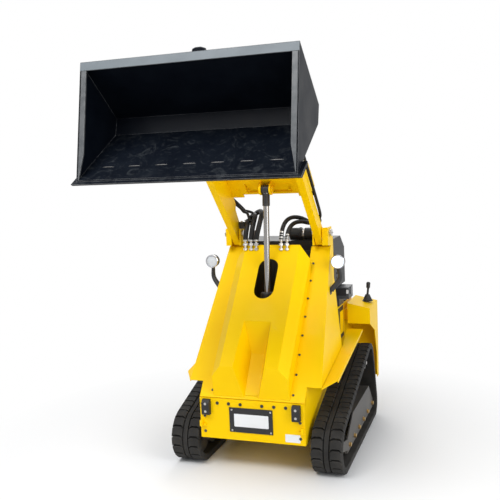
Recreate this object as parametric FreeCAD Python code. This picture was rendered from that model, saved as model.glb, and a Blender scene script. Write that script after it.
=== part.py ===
import FreeCAD, Part
import math
import os

# Mini track loader: a walk-behind or stand-on loader on two rubber tracks, with a front bucket on lift arms.
# Millimetres. X points to the machine's left side, Y to its rear, Z up. Y = 0 is the front panel while
# the machine is built, and the finished machine is moved so that its box's bottom centre is the origin.

V = FreeCAD.Vector

# ---------------------------------------------------------------- driving sizes
# lower body
BODY_HALF = 314.0            # half width of the lower body
BODY_FLOOR = 199.0           # ground clearance under the belly
BODY_REAR = 1250.0           # rear face of the lower body
TRACK_GAP = 21.0             # from the lower body to a track
TOP_STEP = 20.0              # how far the upper body's top stands out beyond the lower body
WING_FLARE = 63.0            # how far the wings' lower edge stands out beyond their top
ARM_INSET = 64.0             # from the lower body's side to an arm's inner face
HATCH_INSET = 100.0
HOOD_LAP = 14.0              # the hood beyond the opening under it
BODY_WALL = 8.0
PANEL_TOP = 438.0            # top edge of the front panel
PANEL_THICK = 6.0
HOOK_FOOT = 272.0            # lower edge of the tie-down hooks
HOOK_TIP = 14.0              # size of a hook's section
HOOK_OUT = 26.0
SIGN_MIDDLE = (-3.0, 319.0)  # sign on the front panel
SIGN_SIZE = (260.0, 144.0)
SIGN_FACE_MIDDLE = (-2.0, 324.0)
SIGN_FACE_SIZE = (206.0, 76.0)
TUB_TOP = 560.0              # top edge of the lower body's side walls
# upper body
SLOPE_TOP_Y = 648.0          # top edge of the sloping front plate
SLOPE_TOP_Z = 1238.0
SLOPE_THICK = 6.0
WING_Z = 517.0
WING_TOP_HALF = BODY_HALF + TOP_STEP
WING_HALF = WING_TOP_HALF + WING_FLARE
HATCH_HALF = BODY_HALF - HATCH_INSET     # opening under the hood
SHEET = 5.0
# hood
HOOD_Y = -20.0               # front top edge of the hood
HOOD_Z = 635.0
HOOD_SLOPE = 49.2            # degrees
HOOD_REAR = 522.0
HOOD_BEVEL = 54.0            # width of the bevels along the hood's sides
HOOD_SIDE_HALF = HATCH_HALF + HOOD_LAP
HOOD_FLAT_HALF = HOOD_SIDE_HALF - HOOD_BEVEL
HOOD_SIDE_FLARE = 0.016
HOOD_BEVEL_DROP = 50.0       # how far the bevel falls, square to the slope
HOOD_SHEET = 4.0
CHANNEL_TOP_HALF = 82.0
CHANNEL_FLOOR_HALF = 42.0
CHANNEL_REAR_Y = 173.0
CHANNEL_FLOOR_REAR = (162.0, 666.6)
CHANNEL_FLOOR_FRONT = (6.0, 443.0)
SLOT_WIDTH = 124.0
SLOT_Y = (272.0, 455.0)
# towers and lift arms
PIVOT_Y = 630.0
PIVOT_Z = 1326.0
PIVOT_PIN_R = 20.0
TOWER_TOP = 1359.0
TOWER_FOOT = 1040.0
TOWER_REAR = 724.0
TOWER_FRONT = 588.0
TOWER_PLATE = 8.0
TOWER_HALF = WING_TOP_HALF
ARM_INNER = BODY_HALF - ARM_INSET
ARM_WIDTH = 42.0
ARM_ANGLE = 134.84           # direction of the raised arm, degrees from +Y towards +Z
ARM_FRONT = -57.3            # the arm's two edges, square to its length, from the pivot
ARM_BACK = 20.7
ARM_TAIL = 49.7
ELBOW_A = 1141.0
ELBOW_B = -14.0
HINGE_R = 40.0
HINGE_PIN_R = 15.0
STOP_THICK = 32.6            # rubber blocks that the lowered arms meet
STOP_Z = (343.0, 432.0)
SIDE_GAP = 6.0               # gap between an arm and the plates beside it
RUN_FIT = 0.05               # radial clearance of a pin in its bore
SEAT_GAP = 0.3               # between pieces that rest on each other out of line with the axes
# crossmember between the arms
CROSS_FACE_B = 97.7
CROSS_A = (259.0, 436.0)
CROSS_DEPTH = 78.0
CROSS_WALL = 6.0
POCKET = 14.0
LIP_B = 62.7
LIFT_EYE_A = 342.4
LIFT_EYE_B = 58.4
TILT_BASE_A = 450.0
TILT_BASE_B = 143.0
EAR_THICK = 10.0
# lift cylinder
LIFT_BASE_Y = 326.0
LIFT_BASE_Z = 330.0
LIFT_TUBE_R = 38.0
LIFT_BORE_R = 30.0
LIFT_TUBE_LEN = 662.0
LIFT_ROD_R = 17.5
LIFT_EYE_R = 27.0
LIFT_EYE_WIDTH = 46.0
LIFT_PIN_R = 14.0
# tilt cylinder
TILT_TUBE_R = 30.0
TILT_BORE_R = 23.0
TILT_TUBE_LEN = 600.0
TILT_ROD_R = 15.0
TILT_EYE_R = 26.0
TILT_EYE_WIDTH = 44.0
TILT_PIN_R = 12.5
# bucket, in its own side view
BUCKET_HALF = 538.0
BUCKET_LIP = (-670.0, 2277.0)
BUCKET_HEEL = (-365.0, 2029.0)
BUCKET_TOE = (-391.0, 1938.0)
BUCKET_EDGE = (-776.0, 1717.0)
BUCKET_SHEET = 6.0
BUCKET_SIDE = 8.0
LIP_FOLD = 42.0              # the lip's folded edge, down the mouth
EDGE_DEPTH = 128.0
EDGE_THICK = 14.0
EDGE_OVERHANG = 20.0         # the cutting edge beyond each side
HOOK_HALF = 28.0             # small lug behind the lip
HOOK_X = 80.0
HINGE_S = 115.0              # bucket hinge: up the back plate from its heel, and out from the plate
HINGE_OFF = 60.0
TILT_PIN_S = 270.0
TILT_PIN_OFF = 90.0
# undercarriage
TRACK_INNER = BODY_HALF + TRACK_GAP
TRACK_WIDTH = 180.0
TRACK_BAND = 18.0
PITCH_INSET = 32.0           # from the lugs' tips to the line along which the links are spaced
LINK_COUNT = 38
LUG_LENGTH = 44.0            # along the belt
LUG_POINT = 12.0             # how far a lug's middle runs ahead of its ends
LUG_SINK = 4.0               # how deep a lug is rooted in the belt
RIB_HALF = 11.0              # plain rib between the two rows of lugs
RIB_GAP = 6.0
LUG_HEIGHT = 20.0
BELT_FACET = 15.0            # degrees of a bend that one flat of the belt's outside takes
IDLER_Y = 157.0
IDLER_OUT_R = 155.0          # to the lugs' tips
TAIL_Y = 1083.0
TAIL_OUT_R = 100.0
DRIVE_Y = 948.0
DRIVE_Z = 418.0
DRIVE_OUT_R = 133.0
WHEEL_WIDTH = 46.0
ROLLER_FIRST_Y = 330.0
ROLLER_LAST_Y = 915.0
ROLLER_COUNT = 5
ROLLER_R = 58.0
AXLE_R = 18.0
FRAME_TOP = 250.0
FENDER_OVER = 131.0          # the fender's outer edge beyond the track's inner edge
FENDER_HALF = TRACK_INNER + FENDER_OVER
FENDER_Z = 531.0
FENDER_FRONT = 187.0
FENDER_REAR = 944.0
FENDER_RISE = 0.1546
# rear
HOUSING_FRONT = 750.0
HOUSING_TOP = 815.0
ENGINE_HALF = 190.0
ENGINE_Y = (748.0, 1010.0)
ENGINE_Z = (520.0, 1180.0)
SIDE_BOX_GAP = 29.0          # from the upper body to the boxes beside the engine
SIDE_BOX_WIDTH = 151.0
SIDE_BOX_IN = WING_TOP_HALF + SIDE_BOX_GAP
SIDE_BOX_OUT = SIDE_BOX_IN + SIDE_BOX_WIDTH
SIDE_BOX_FRONT = 962.0
SIDE_BOX_REAR = BODY_REAR + SHEET
SIDE_BOX_FLOOR = 680.0
SIDE_BOX_TOP = 785.0
SIDE_BOX_INNER_TOP = 818.0
COWL_FRONT = 736.0
COWL_LOW = 950.0
COWL_SHOULDER = 1187.0
COWL_TOP = 1262.0
COWL_TAPER = 26.0
COWL_TOP_HALF = WING_TOP_HALF - COWL_TAPER
COWL_SHEET = 5.0
DRUM_R = 40.0
DRUM_X = (46.0, 296.0)
GUARD_FOOT = 250.0
STEP_Z = 262.0
STEP_LEN = 300.0
STEP_INSET = 14.0
STEP_HALF = BODY_HALF - STEP_INSET
CONSOLE_HALF = 215.0
CONSOLE_GAP = 40.0           # from the engine to the console
CONSOLE_TOP = 1130.0
LAMP_OUT = 74.0              # from the upper body's top to a lamp's middle
LAMP_X = WING_TOP_HALF + LAMP_OUT
LAMP_Y = 527.0
LAMP_Z = 1160.0
LAMP_R = 42.0

# ---------------------------------------------------------------- helpers


def block(x0, x1, y0, y1, z0, z1):
    """Box between two corners."""
    return Part.makeBox(x1 - x0, y1 - y0, z1 - z0, V(x0, y0, z0))


def side_plate(points, x0, x1):
    """Plate with the outline (y, z), from x0 to x1."""
    wire = Part.makePolygon([V(x0, y, z) for y, z in points + points[:1]])
    return Part.Face(wire).extrude(V(x1 - x0, 0, 0))


def rod(start, end, radius):
    """Round bar between two points."""
    start = V(*start)
    line = V(*end) - start
    return Part.makeCylinder(radius, line.Length, start, line)


def cross_rod(y, z, radius, x0, x1):
    """Round bar along X."""
    return Part.makeCylinder(radius, x1 - x0, V(x0, y, z), V(1, 0, 0))


def mirrored(shape):
    """The same piece on the other side of the machine."""
    return shape.mirror(V(0, 0, 0), V(1, 0, 0))


def both_sides(shape):
    """A piece and its mirror image, as solids that don't touch."""
    return Part.Compound(shape.Solids + mirrored(shape).Solids)


def fused(shapes):
    """One solid from pieces that touch."""
    whole = shapes[0].fuse(shapes[1:]) if len(shapes) > 1 else shapes[0]
    return whole.removeSplitter()


def beyond(point, normal, size=6000.0):
    """The half space on the side of a plane that its normal points to."""
    slab = Part.makeBox(size, size, size, V(-size / 2, -size / 2, 0))
    slab.Placement = FreeCAD.Placement(V(*point), FreeCAD.Rotation(V(0, 0, 1), V(*normal)))
    return slab


def convex(planes, inset=0.0):
    """Solid inside several planes, each a point and an outward normal, all moved in by inset."""
    solid = Part.makeBox(4000, 4000, 4000, V(-2000, -1500, -500))
    for point, normal, moves in planes:
        outward = V(*normal)
        outward.normalize()
        base = V(*point) - outward * (inset if moves else 0.0)
        solid = solid.cut(beyond(tuple(base), tuple(outward)))
    return solid


def unit(start, end):
    """Direction and length from one (y, z) point to another."""
    length = math.hypot(end[0] - start[0], end[1] - start[1])
    return ((end[0] - start[0]) / length, (end[1] - start[1]) / length), length


# ---------------------------------------------------------------- places that several pieces share
PIVOT = (PIVOT_Y, PIVOT_Z)
ALONG = (math.cos(math.radians(ARM_ANGLE)), math.sin(math.radians(ARM_ANGLE)))
ACROSS = (ALONG[1], -ALONG[0])


def on_arm(a, b):
    """Place on the raised arm: a along it from the pivot, b square to it towards the rear."""
    return (PIVOT_Y + a * ALONG[0] + b * ACROSS[0], PIVOT_Z + a * ALONG[1] + b * ACROSS[1])


ARM_OUTER = ARM_INNER + ARM_WIDTH
LIFT_EYE = on_arm(LIFT_EYE_A, LIFT_EYE_B)
LIFT_BASE = (LIFT_BASE_Y, LIFT_BASE_Z)
TILT_BASE = on_arm(TILT_BASE_A, TILT_BASE_B)
BACK_DIR, BACK_LEN = unit(BUCKET_HEEL, BUCKET_LIP)
BACK_OUT = (BACK_DIR[1], -BACK_DIR[0])


def on_back(s, n):
    """Place behind the bucket: s up its back plate from the heel, n out from the plate."""
    return (BUCKET_HEEL[0] + s * BACK_DIR[0] + n * BACK_OUT[0],
            BUCKET_HEEL[1] + s * BACK_DIR[1] + n * BACK_OUT[1])


TILT_PIN = on_back(TILT_PIN_S, TILT_PIN_OFF)
HINGE = on_back(HINGE_S, HINGE_OFF)
HINGE_A = (HINGE[0] - PIVOT_Y) * ALONG[0] + (HINGE[1] - PIVOT_Z) * ALONG[1]
HINGE_B = (HINGE[0] - PIVOT_Y) * ACROSS[0] + (HINGE[1] - PIVOT_Z) * ACROSS[1]
SLOPE_RISE = (SLOPE_TOP_Z - PANEL_TOP) / SLOPE_TOP_Y
SLOPE_OUT = V(0, -SLOPE_RISE, 1).normalize()
HOOD_RISE = math.tan(math.radians(HOOD_SLOPE))


def slope_y(z):
    """Y of the sloping front plate's face at a height."""
    return (z - PANEL_TOP) / SLOPE_RISE


def wing_half(z):
    """Half width of the upper body at a height."""
    share = (z - WING_Z) / (SLOPE_TOP_Z - WING_Z)
    return WING_HALF + (WING_TOP_HALF - WING_HALF) * share


# ---------------------------------------------------------------- lower body

def chassis_tub():
    """Open tub: floor, two side walls, a rear wall and the lift cylinder's bracket."""
    wall_in = BODY_HALF - BODY_WALL
    floor = block(-BODY_HALF, BODY_HALF, PANEL_THICK, BODY_REAR, BODY_FLOOR, BODY_FLOOR + BODY_WALL)
    front_top = PANEL_TOP - 20
    outline = [(PANEL_THICK, BODY_FLOOR), (BODY_REAR, BODY_FLOOR), (BODY_REAR, TUB_TOP),
               (slope_y(TUB_TOP) + 16, TUB_TOP), (slope_y(front_top) + 26, front_top),
               (PANEL_THICK, front_top)]
    wall = side_plate(outline, wall_in, BODY_HALF)
    rear = block(-BODY_HALF, BODY_HALF, BODY_REAR - BODY_WALL, BODY_REAR, BODY_FLOOR, TUB_TOP)
    ear_in = LIFT_EYE_WIDTH / 2 + 2
    ear_r = 34.0
    base_z = BODY_FLOOR + BODY_WALL
    ear = side_plate([(LIFT_BASE_Y - 70, base_z), (LIFT_BASE_Y + 70, base_z),
                      (LIFT_BASE_Y + ear_r, LIFT_BASE_Z), (LIFT_BASE_Y - ear_r, LIFT_BASE_Z)],
                     ear_in, ear_in + 12)
    ear = ear.fuse(cross_rod(LIFT_BASE_Y, LIFT_BASE_Z, ear_r, ear_in, ear_in + 12))
    pin = cross_rod(LIFT_BASE_Y, LIFT_BASE_Z, LIFT_PIN_R, -ear_in - 16, ear_in + 16)
    return fused([floor, wall, mirrored(wall), rear, ear, mirrored(ear), pin])


def front_panel():
    """Bolted front panel with a tie-down hook under each stop pad."""
    plate = block(-BODY_HALF, BODY_HALF, 0, PANEL_THICK, BODY_FLOOR, PANEL_TOP)
    root = ARM_OUTER + 4
    hook = fused([block(root, root + HOOK_TIP, -HOOK_OUT, 0, HOOK_FOOT, HOOK_FOOT + 34),
                  block(root - 18, root, -HOOK_TIP, 0, HOOK_FOOT, HOOK_FOOT + 12)])
    return fused([plate, hook, mirrored(hook)])


def sign_plate():
    """Blank sign: a plate with a raised panel, standing on the front panel."""
    def sheet(middle, size, front, back):
        return block(middle[0] - size[0] / 2, middle[0] + size[0] / 2, front, back,
                     middle[1] - size[1] / 2, middle[1] + size[1] / 2)

    return fused([sheet(SIGN_MIDDLE, SIGN_SIZE, -4, 0), sheet(SIGN_FACE_MIDDLE, SIGN_FACE_SIZE, -6, -4)])


def stop_pads():
    """Rubber blocks that the lowered arms come down to."""
    low, high = STOP_Z
    shape = [(0, low), (-STOP_THICK + 7, low), (-STOP_THICK, low + 7), (-STOP_THICK, high - 17),
             (-STOP_THICK + 14, high), (0, high)]
    return both_sides(side_plate(shape, ARM_INNER - 4, ARM_OUTER))


# ---------------------------------------------------------------- upper body

def upper_frame():
    """Sloping front plate with its two wings and side plates."""
    depth = SLOPE_OUT * -SLOPE_THICK

    def face_point(x, z):
        return V(x, slope_y(z), z)

    low = PANEL_TOP + SLOPE_THICK * SLOPE_OUT.z + SEAT_GAP
    outline = [(-BODY_HALF, low), (BODY_HALF, low), (BODY_HALF, WING_Z), (WING_HALF, WING_Z),
               (WING_TOP_HALF, SLOPE_TOP_Z), (-WING_TOP_HALF, SLOPE_TOP_Z), (-WING_HALF, WING_Z),
               (-BODY_HALF, WING_Z)]
    wire = Part.makePolygon([face_point(x, z) for x, z in outline + outline[:1]])
    front = Part.Face(wire).extrude(depth)
    hatch_low = PANEL_TOP + 24
    hatch_high = SLOPE_TOP_Z + 50
    hatch = [(-HATCH_HALF, hatch_low), (HATCH_HALF, hatch_low),
             (HATCH_HALF, hatch_high), (-HATCH_HALF, hatch_high)]
    hole = Part.makePolygon([face_point(x, z) + SLOPE_OUT * 20 for x, z in hatch + hatch[:1]])
    front = front.cut(Part.Face(hole).extrude(SLOPE_OUT * -60))
    side_rear = SLOPE_TOP_Y + 2
    spare = WING_HALF - TOWER_HALF - SHEET - SEAT_GAP
    side_top = WING_Z + spare / (WING_HALF - WING_TOP_HALF) * (SLOPE_TOP_Z - WING_Z)
    foot_z = FENDER_Z + (side_rear - FENDER_FRONT) * FENDER_RISE
    corners = [(slope_y(WING_Z), WING_Z), (side_rear, foot_z), (side_rear, side_top),
               (slope_y(side_top), side_top)]
    outer = [V(wing_half(z), y, z) for y, z in corners]
    side = Part.Face(Part.makePolygon(outer + outer[:1])).extrude(V(-SHEET, 0, 0))
    return fused([front, side, mirrored(side)])


def fenders():
    """Plates over the tracks, folded down at the outer edge."""
    def deck(x, y):
        return V(x, y, FENDER_Z + (y - FENDER_FRONT) * FENDER_RISE)

    gap = 0.5
    corners = [(wing_half(WING_Z + 4) + gap, slope_y(WING_Z)), (FENDER_HALF, FENDER_FRONT),
               (FENDER_HALF, FENDER_REAR), (SIDE_BOX_IN - 3, FENDER_REAR),
               (wing_half(600) + gap, SLOPE_TOP_Y + 4)]
    outline = Part.makePolygon([deck(x, y) for x, y in corners + corners[:1]])
    plate = Part.Face(outline).extrude(V(0, 0, -SHEET))
    lip = [deck(FENDER_HALF, FENDER_FRONT), deck(FENDER_HALF, FENDER_REAR),
           deck(FENDER_HALF, FENDER_REAR) - V(0, 0, 16), deck(FENDER_HALF, FENDER_FRONT) - V(0, 0, 16)]
    lip = Part.Face(Part.makePolygon(lip + lip[:1])).extrude(V(-SHEET, 0, 0))
    gusset_y = 520.0
    gusset_top = deck(0, gusset_y).z - SHEET + 2
    bracket = block(BODY_HALF, FENDER_HALF - 40, gusset_y, gusset_y + 8, TUB_TOP - 60, gusset_top)
    return both_sides(fused([plate, lip, bracket]))


def hood():
    """Sheet hood: sloping top, bevelled edges, a central channel and the slot for the lift cylinder."""
    top_out = (0, -HOOD_RISE, 1)
    normal = V(*top_out).normalize()
    bevel_point = V(HOOD_SIDE_HALF, HOOD_Y, HOOD_Z) - normal * HOOD_BEVEL_DROP
    flat_point = V(HOOD_FLAT_HALF, HOOD_Y, HOOD_Z)
    across = bevel_point - flat_point
    slope_line = V(0, 1, HOOD_RISE)
    bevel_out = slope_line.cross(across)
    if bevel_out.z < 0:
        bevel_out = bevel_out * -1
    front_out = (0, -(HOOD_Z - PANEL_TOP), -(12 - HOOD_Y))
    side_out = (1, -HOOD_SIDE_FLARE, 0)
    planes = [((0, HOOD_Y, HOOD_Z), top_out, True),
              (tuple(flat_point), tuple(bevel_out), True),
              ((-flat_point.x, flat_point.y, flat_point.z), (-bevel_out.x, bevel_out.y, bevel_out.z), True),
              ((HOOD_SIDE_HALF, HOOD_Y, 0), side_out, True),
              ((-HOOD_SIDE_HALF, HOOD_Y, 0), (-side_out[0], side_out[1], 0), True),
              ((0, HOOD_Y, HOOD_Z), front_out, True),
              ((0, HOOD_REAR, 0), (0, 1, 0), False)]
    seat = [(tuple(SLOPE_OUT * 0.3 + V(0, 0, PANEL_TOP)), tuple(SLOPE_OUT * -1), False)]
    deep = [((0, 0, PANEL_TOP - 60), tuple(SLOPE_OUT * -1), False)]
    outer = convex(planes + seat)
    inner = convex(planes + deep, HOOD_SHEET)
    shell = outer.cut(inner)

    # the channel: two slanted walls, a floor and a rear wall, as sheet
    top_rear = (CHANNEL_REAR_Y, HOOD_Z + (CHANNEL_REAR_Y - HOOD_Y) * HOOD_RISE)
    floor_line = unit(CHANNEL_FLOOR_FRONT, CHANNEL_FLOOR_REAR)[0]
    rear_line = unit(CHANNEL_FLOOR_REAR, top_rear)[0]
    floor_point = (CHANNEL_FLOOR_HALF, CHANNEL_FLOOR_REAR[0], CHANNEL_FLOOR_REAR[1])
    wall_in = V(CHANNEL_TOP_HALF, top_rear[0], top_rear[1]) - V(*floor_point)
    wall_out = wall_in.cross(V(0, floor_line[0], floor_line[1]))
    if wall_out.x < 0:
        wall_out = wall_out * -1
    channel = [(floor_point, (0, floor_line[1], -floor_line[0]), True),
               (floor_point, (0, rear_line[1], -rear_line[0]), True),
               (floor_point, tuple(wall_out), True),
               ((-floor_point[0],) + floor_point[1:], (-wall_out.x, wall_out.y, wall_out.z), True)]
    void = convex(channel)
    lining = convex(channel, -HOOD_SHEET).common(convex(planes + deep))
    lining = lining.cut(beyond((0, 0, PANEL_TOP + 2), (0, 0, -1)))
    lining = lining.cut(beyond((0, 0, PANEL_TOP), tuple(SLOPE_OUT * -1)))
    whole = shell.fuse(lining).cut(void)

    # the slot, square to the slope
    ends = [V(0, y, HOOD_Z + (y - HOOD_Y) * HOOD_RISE) for y in SLOT_Y]
    line = (ends[1] - ends[0]).normalize()
    radius = SLOT_WIDTH / 2
    first = ends[0] + line * radius
    last = ends[1] - line * radius
    slot = Part.makeCylinder(radius, 80, first - normal * 40, normal)
    slot = slot.fuse(Part.makeCylinder(radius, 80, last - normal * 40, normal))
    aside = V(radius, 0, 0)
    corners = [first + aside, last + aside, last - aside, first - aside]
    middle = Part.Face(Part.makePolygon(corners + corners[:1])).extrude(normal * 80)
    middle.translate(normal * -40)
    whole = whole.cut(slot.fuse(middle))
    whole = max(whole.Solids, key=lambda s: s.Volume)
    return whole.removeSplitter()


def tower():
    """Left tower: two plates with the arm's pivot between them, a rear web and a front flange."""
    back = SLOPE_THICK / SLOPE_OUT.z + 1.0
    outline = [(slope_y(TOWER_FOOT) + back + 6, TOWER_FOOT),
               (slope_y(SLOPE_TOP_Z) + back + 4, SLOPE_TOP_Z + 4),
               (TOWER_FRONT, SLOPE_TOP_Z + 12), (TOWER_FRONT, TOWER_TOP), (TOWER_REAR - 36, TOWER_TOP),
               (TOWER_REAR, SLOPE_TOP_Z + 30), (TOWER_REAR, TOWER_FOOT)]
    outer = side_plate(outline, TOWER_HALF - TOWER_PLATE, TOWER_HALF)
    inner_out = ARM_INNER - SIDE_GAP
    inner = side_plate(outline, inner_out - TOWER_PLATE, inner_out)
    web = block(inner_out - TOWER_PLATE, TOWER_HALF, TOWER_REAR - TOWER_PLATE, TOWER_REAR,
                TOWER_FOOT, SLOPE_TOP_Z + 30)
    flange = block(ARM_OUTER + SIDE_GAP, TOWER_HALF, TOWER_FRONT, TOWER_FRONT + SHEET,
                   SLOPE_TOP_Z + 12, TOWER_TOP)
    bore = cross_rod(PIVOT_Y, PIVOT_Z, PIVOT_PIN_R + RUN_FIT, 0, 500)
    return fused([outer, inner, web, flange]).cut(bore)


# ---------------------------------------------------------------- engine and operator's end

def engine_housing():
    """Side and rear panels round the engine."""
    half = WING_TOP_HALF
    shell = block(-half, half, HOUSING_FRONT, BODY_REAR, TUB_TOP, HOUSING_TOP)
    inside = block(-half + SHEET, half - SHEET, HOUSING_FRONT - 10, BODY_REAR - SHEET,
                   TUB_TOP - 10, HOUSING_TOP + 10)
    return shell.cut(inside)


def engine_block():
    """Engine and pump as one plain block on two mounting rails."""
    body = block(-ENGINE_HALF, ENGINE_HALF, ENGINE_Y[0], ENGINE_Y[1], ENGINE_Z[0], ENGINE_Z[1])
    rail = block(ENGINE_HALF - 40, ENGINE_HALF, ENGINE_Y[0], ENGINE_Y[1], BODY_FLOOR + BODY_WALL, ENGINE_Z[0])
    return fused([body, rail, mirrored(rail)])


def engine_cowl():
    """Open-bottomed cowl over the engine, with the air cleaner's drum along its front edge."""
    console_front = ENGINE_Y[1] + CONSOLE_GAP

    def section(inset):
        half = WING_TOP_HALF - inset
        top_half = COWL_TOP_HALF - inset
        top = COWL_TOP - inset
        return [V(-half, 0, COWL_LOW), V(half, 0, COWL_LOW), V(half, 0, COWL_SHOULDER), V(top_half, 0, top),
                V(-top_half, 0, top), V(-half, 0, COWL_SHOULDER)]

    outer, inner = [Part.Face(Part.makePolygon(c + c[:1])) for c in (section(0), section(COWL_SHEET))]
    shell = outer.extrude(V(0, console_front - COWL_FRONT, 0))
    hollow = inner.extrude(V(0, console_front - COWL_FRONT - 2 * COWL_SHEET, 0))
    hollow.translate(V(0, COWL_SHEET, 0))
    hollow = hollow.fuse(block(-WING_TOP_HALF + COWL_SHEET, WING_TOP_HALF - COWL_SHEET, COWL_SHEET,
                               console_front - COWL_FRONT - COWL_SHEET, COWL_LOW - 10, COWL_LOW + 10))
    shell = shell.cut(hollow)
    shell.translate(V(0, COWL_FRONT, 0))
    drum_y = COWL_FRONT + DRUM_R
    drum_z = COWL_TOP + DRUM_R + 2
    drum = cross_rod(drum_y, drum_z, DRUM_R, *DRUM_X)
    cap = cross_rod(drum_y, drum_z, DRUM_R + 3, DRUM_X[0] + 60, DRUM_X[0] + 70)
    saddle = block(DRUM_X[0] + 30, DRUM_X[1] - 20, drum_y - DRUM_R / 2, drum_y + DRUM_R / 2,
                   COWL_TOP - 1, drum_z)
    return fused([shell, drum, cap, saddle])


def side_box():
    """Left side box over the track's rear, with the guard plate that runs down to the step."""
    def section(y):
        return [V(SIDE_BOX_IN, y, SIDE_BOX_FLOOR), V(SIDE_BOX_OUT, y, SIDE_BOX_FLOOR),
                V(SIDE_BOX_OUT, y, SIDE_BOX_TOP), V(SIDE_BOX_IN, y, SIDE_BOX_INNER_TOP)]

    corners = section(SIDE_BOX_FRONT)
    body = Part.Face(Part.makePolygon(corners + corners[:1])).extrude(V(0, SIDE_BOX_REAR - SIDE_BOX_FRONT, 0))
    guard = side_plate([(SIDE_BOX_FRONT, SIDE_BOX_FLOOR), (SIDE_BOX_REAR, SIDE_BOX_FLOOR),
                        (SIDE_BOX_REAR, GUARD_FOOT), (SIDE_BOX_REAR - 50, GUARD_FOOT),
                        (SIDE_BOX_REAR - 54, 420), (SIDE_BOX_REAR - 120, 600)],
                       SIDE_BOX_OUT - SHEET, SIDE_BOX_OUT)
    rear = block(BODY_HALF - 30, SIDE_BOX_OUT, BODY_REAR, SIDE_BOX_REAR, GUARD_FOOT, SIDE_BOX_FLOOR)
    link = block(WING_TOP_HALF, SIDE_BOX_IN, SIDE_BOX_FRONT + 30, SIDE_BOX_REAR - 30,
                 SIDE_BOX_FLOOR + 20, SIDE_BOX_FLOOR + 90)
    return fused([body, guard, rear, link])


def operator_step():
    """Standing platform on two arms from the body's rear wall."""
    deck = block(-STEP_HALF, STEP_HALF, BODY_REAR + 20, BODY_REAR + 20 + STEP_LEN, STEP_Z - 8, STEP_Z)
    rim_low = STEP_Z - 50
    rim = block(-STEP_HALF, STEP_HALF, BODY_REAR + 20, BODY_REAR + 20 + STEP_LEN, rim_low, STEP_Z - 8)
    rim = rim.cut(block(-STEP_HALF + 8, STEP_HALF - 8, BODY_REAR + 28, BODY_REAR + 12 + STEP_LEN, 0, 1000))
    arm = block(STEP_HALF - 90, STEP_HALF - 50, BODY_REAR, BODY_REAR + STEP_LEN - 20, rim_low, STEP_Z - 8)
    return fused([deck, rim, arm, mirrored(arm)])


def control_console():
    """Console in front of the operator, with its sloping panel and hand bar."""
    front = ENGINE_Y[1] + CONSOLE_GAP
    outline = [(front, HOUSING_TOP + 1), (BODY_REAR - 30, HOUSING_TOP + 1), (BODY_REAR - 30, CONSOLE_TOP - 90),
               (front + 60, CONSOLE_TOP), (front, CONSOLE_TOP)]
    body = side_plate(outline, -CONSOLE_HALF, CONSOLE_HALF)
    foot = block(-WING_TOP_HALF, WING_TOP_HALF, front, BODY_REAR, HOUSING_TOP, HOUSING_TOP + 8)
    bar_y = BODY_REAR + 30
    bar_z = CONSOLE_TOP - 70
    bar = rod((-CONSOLE_HALF, bar_y, bar_z), (CONSOLE_HALF, bar_y, bar_z), 12)
    stub = rod((CONSOLE_HALF - 14, BODY_REAR - 60, bar_z), (CONSOLE_HALF - 14, bar_y, bar_z), 11)
    return fused([body, foot, bar, stub, mirrored(stub)])


def control_levers():
    """Two joysticks on the side boxes: boot, stem and knob."""
    x = (SIDE_BOX_IN + SIDE_BOX_OUT) / 2 + 30
    y = SIDE_BOX_REAR - 120
    share = (SIDE_BOX_OUT - x) / (SIDE_BOX_OUT - SIDE_BOX_IN)
    seat = SIDE_BOX_TOP + share * (SIDE_BOX_INNER_TOP - SIDE_BOX_TOP)
    boot = Part.makeCone(34, 15, 40, V(x, y, seat + 7.7))
    stem = rod((x, y, seat + 40), (x + 8, y - 6, seat + 110), 8)
    knob = rod((x + 6, y - 4, seat + 92), (x + 10, y - 8, seat + 138), 14)
    return both_sides(fused([boot, stem, knob]))


def battery_box():
    """Grey box on the left edge of the engine housing, on its own bracket."""
    box = block(WING_TOP_HALF - 28, WING_TOP_HALF + 63, ENGINE_Y[1] - 150, ENGINE_Y[1] - 20, HOUSING_TOP + 50, 941)
    bracket = block(WING_TOP_HALF - 28, WING_TOP_HALF - 1, ENGINE_Y[1] - 150, ENGINE_Y[1] - 20,
                    HOUSING_TOP, HOUSING_TOP + 50)
    return fused([box, bracket])


def work_lights():
    """Round lamps on bent arms from the upper body's side plates."""
    lamp = Part.makeCylinder(LAMP_R, 44, V(LAMP_X, LAMP_Y - 22, LAMP_Z), V(0, 1, 0))
    lamp = lamp.fuse(Part.makeCone(LAMP_R, 26, 22, V(LAMP_X, LAMP_Y + 22, LAMP_Z), V(0, 1, 0)))
    neck = rod((LAMP_X, LAMP_Y, LAMP_Z - 30), (LAMP_X + 8, LAMP_Y + 16, LAMP_Z - 92), 9)
    foot_z = 985
    foot_x = wing_half(foot_z)
    arm = rod((LAMP_X + 8, LAMP_Y + 16, LAMP_Z - 90), (foot_x + 18, LAMP_Y - 5, foot_z), 15)
    foot = block(foot_x - 1, foot_x + 32, LAMP_Y - 28, LAMP_Y + 18, foot_z - 34, foot_z + 12)
    side = [V(wing_half(z), y, z) for y, z in ((0, 900), (900, 900), (900, 1100), (0, 1100))]
    inside = Part.Face(Part.makePolygon(side + side[:1])).extrude(V(-60, 0, 0))
    return both_sides(fused([lamp, neck, arm, foot.cut(inside)]))


# ---------------------------------------------------------------- undercarriage

WHEELS = [(IDLER_Y, IDLER_OUT_R, IDLER_OUT_R), (TAIL_Y, TAIL_OUT_R, TAIL_OUT_R),
          (DRIVE_Y, DRIVE_Z, DRIVE_OUT_R)]
TRACK_MID = TRACK_INNER + TRACK_WIDTH / 2


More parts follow.
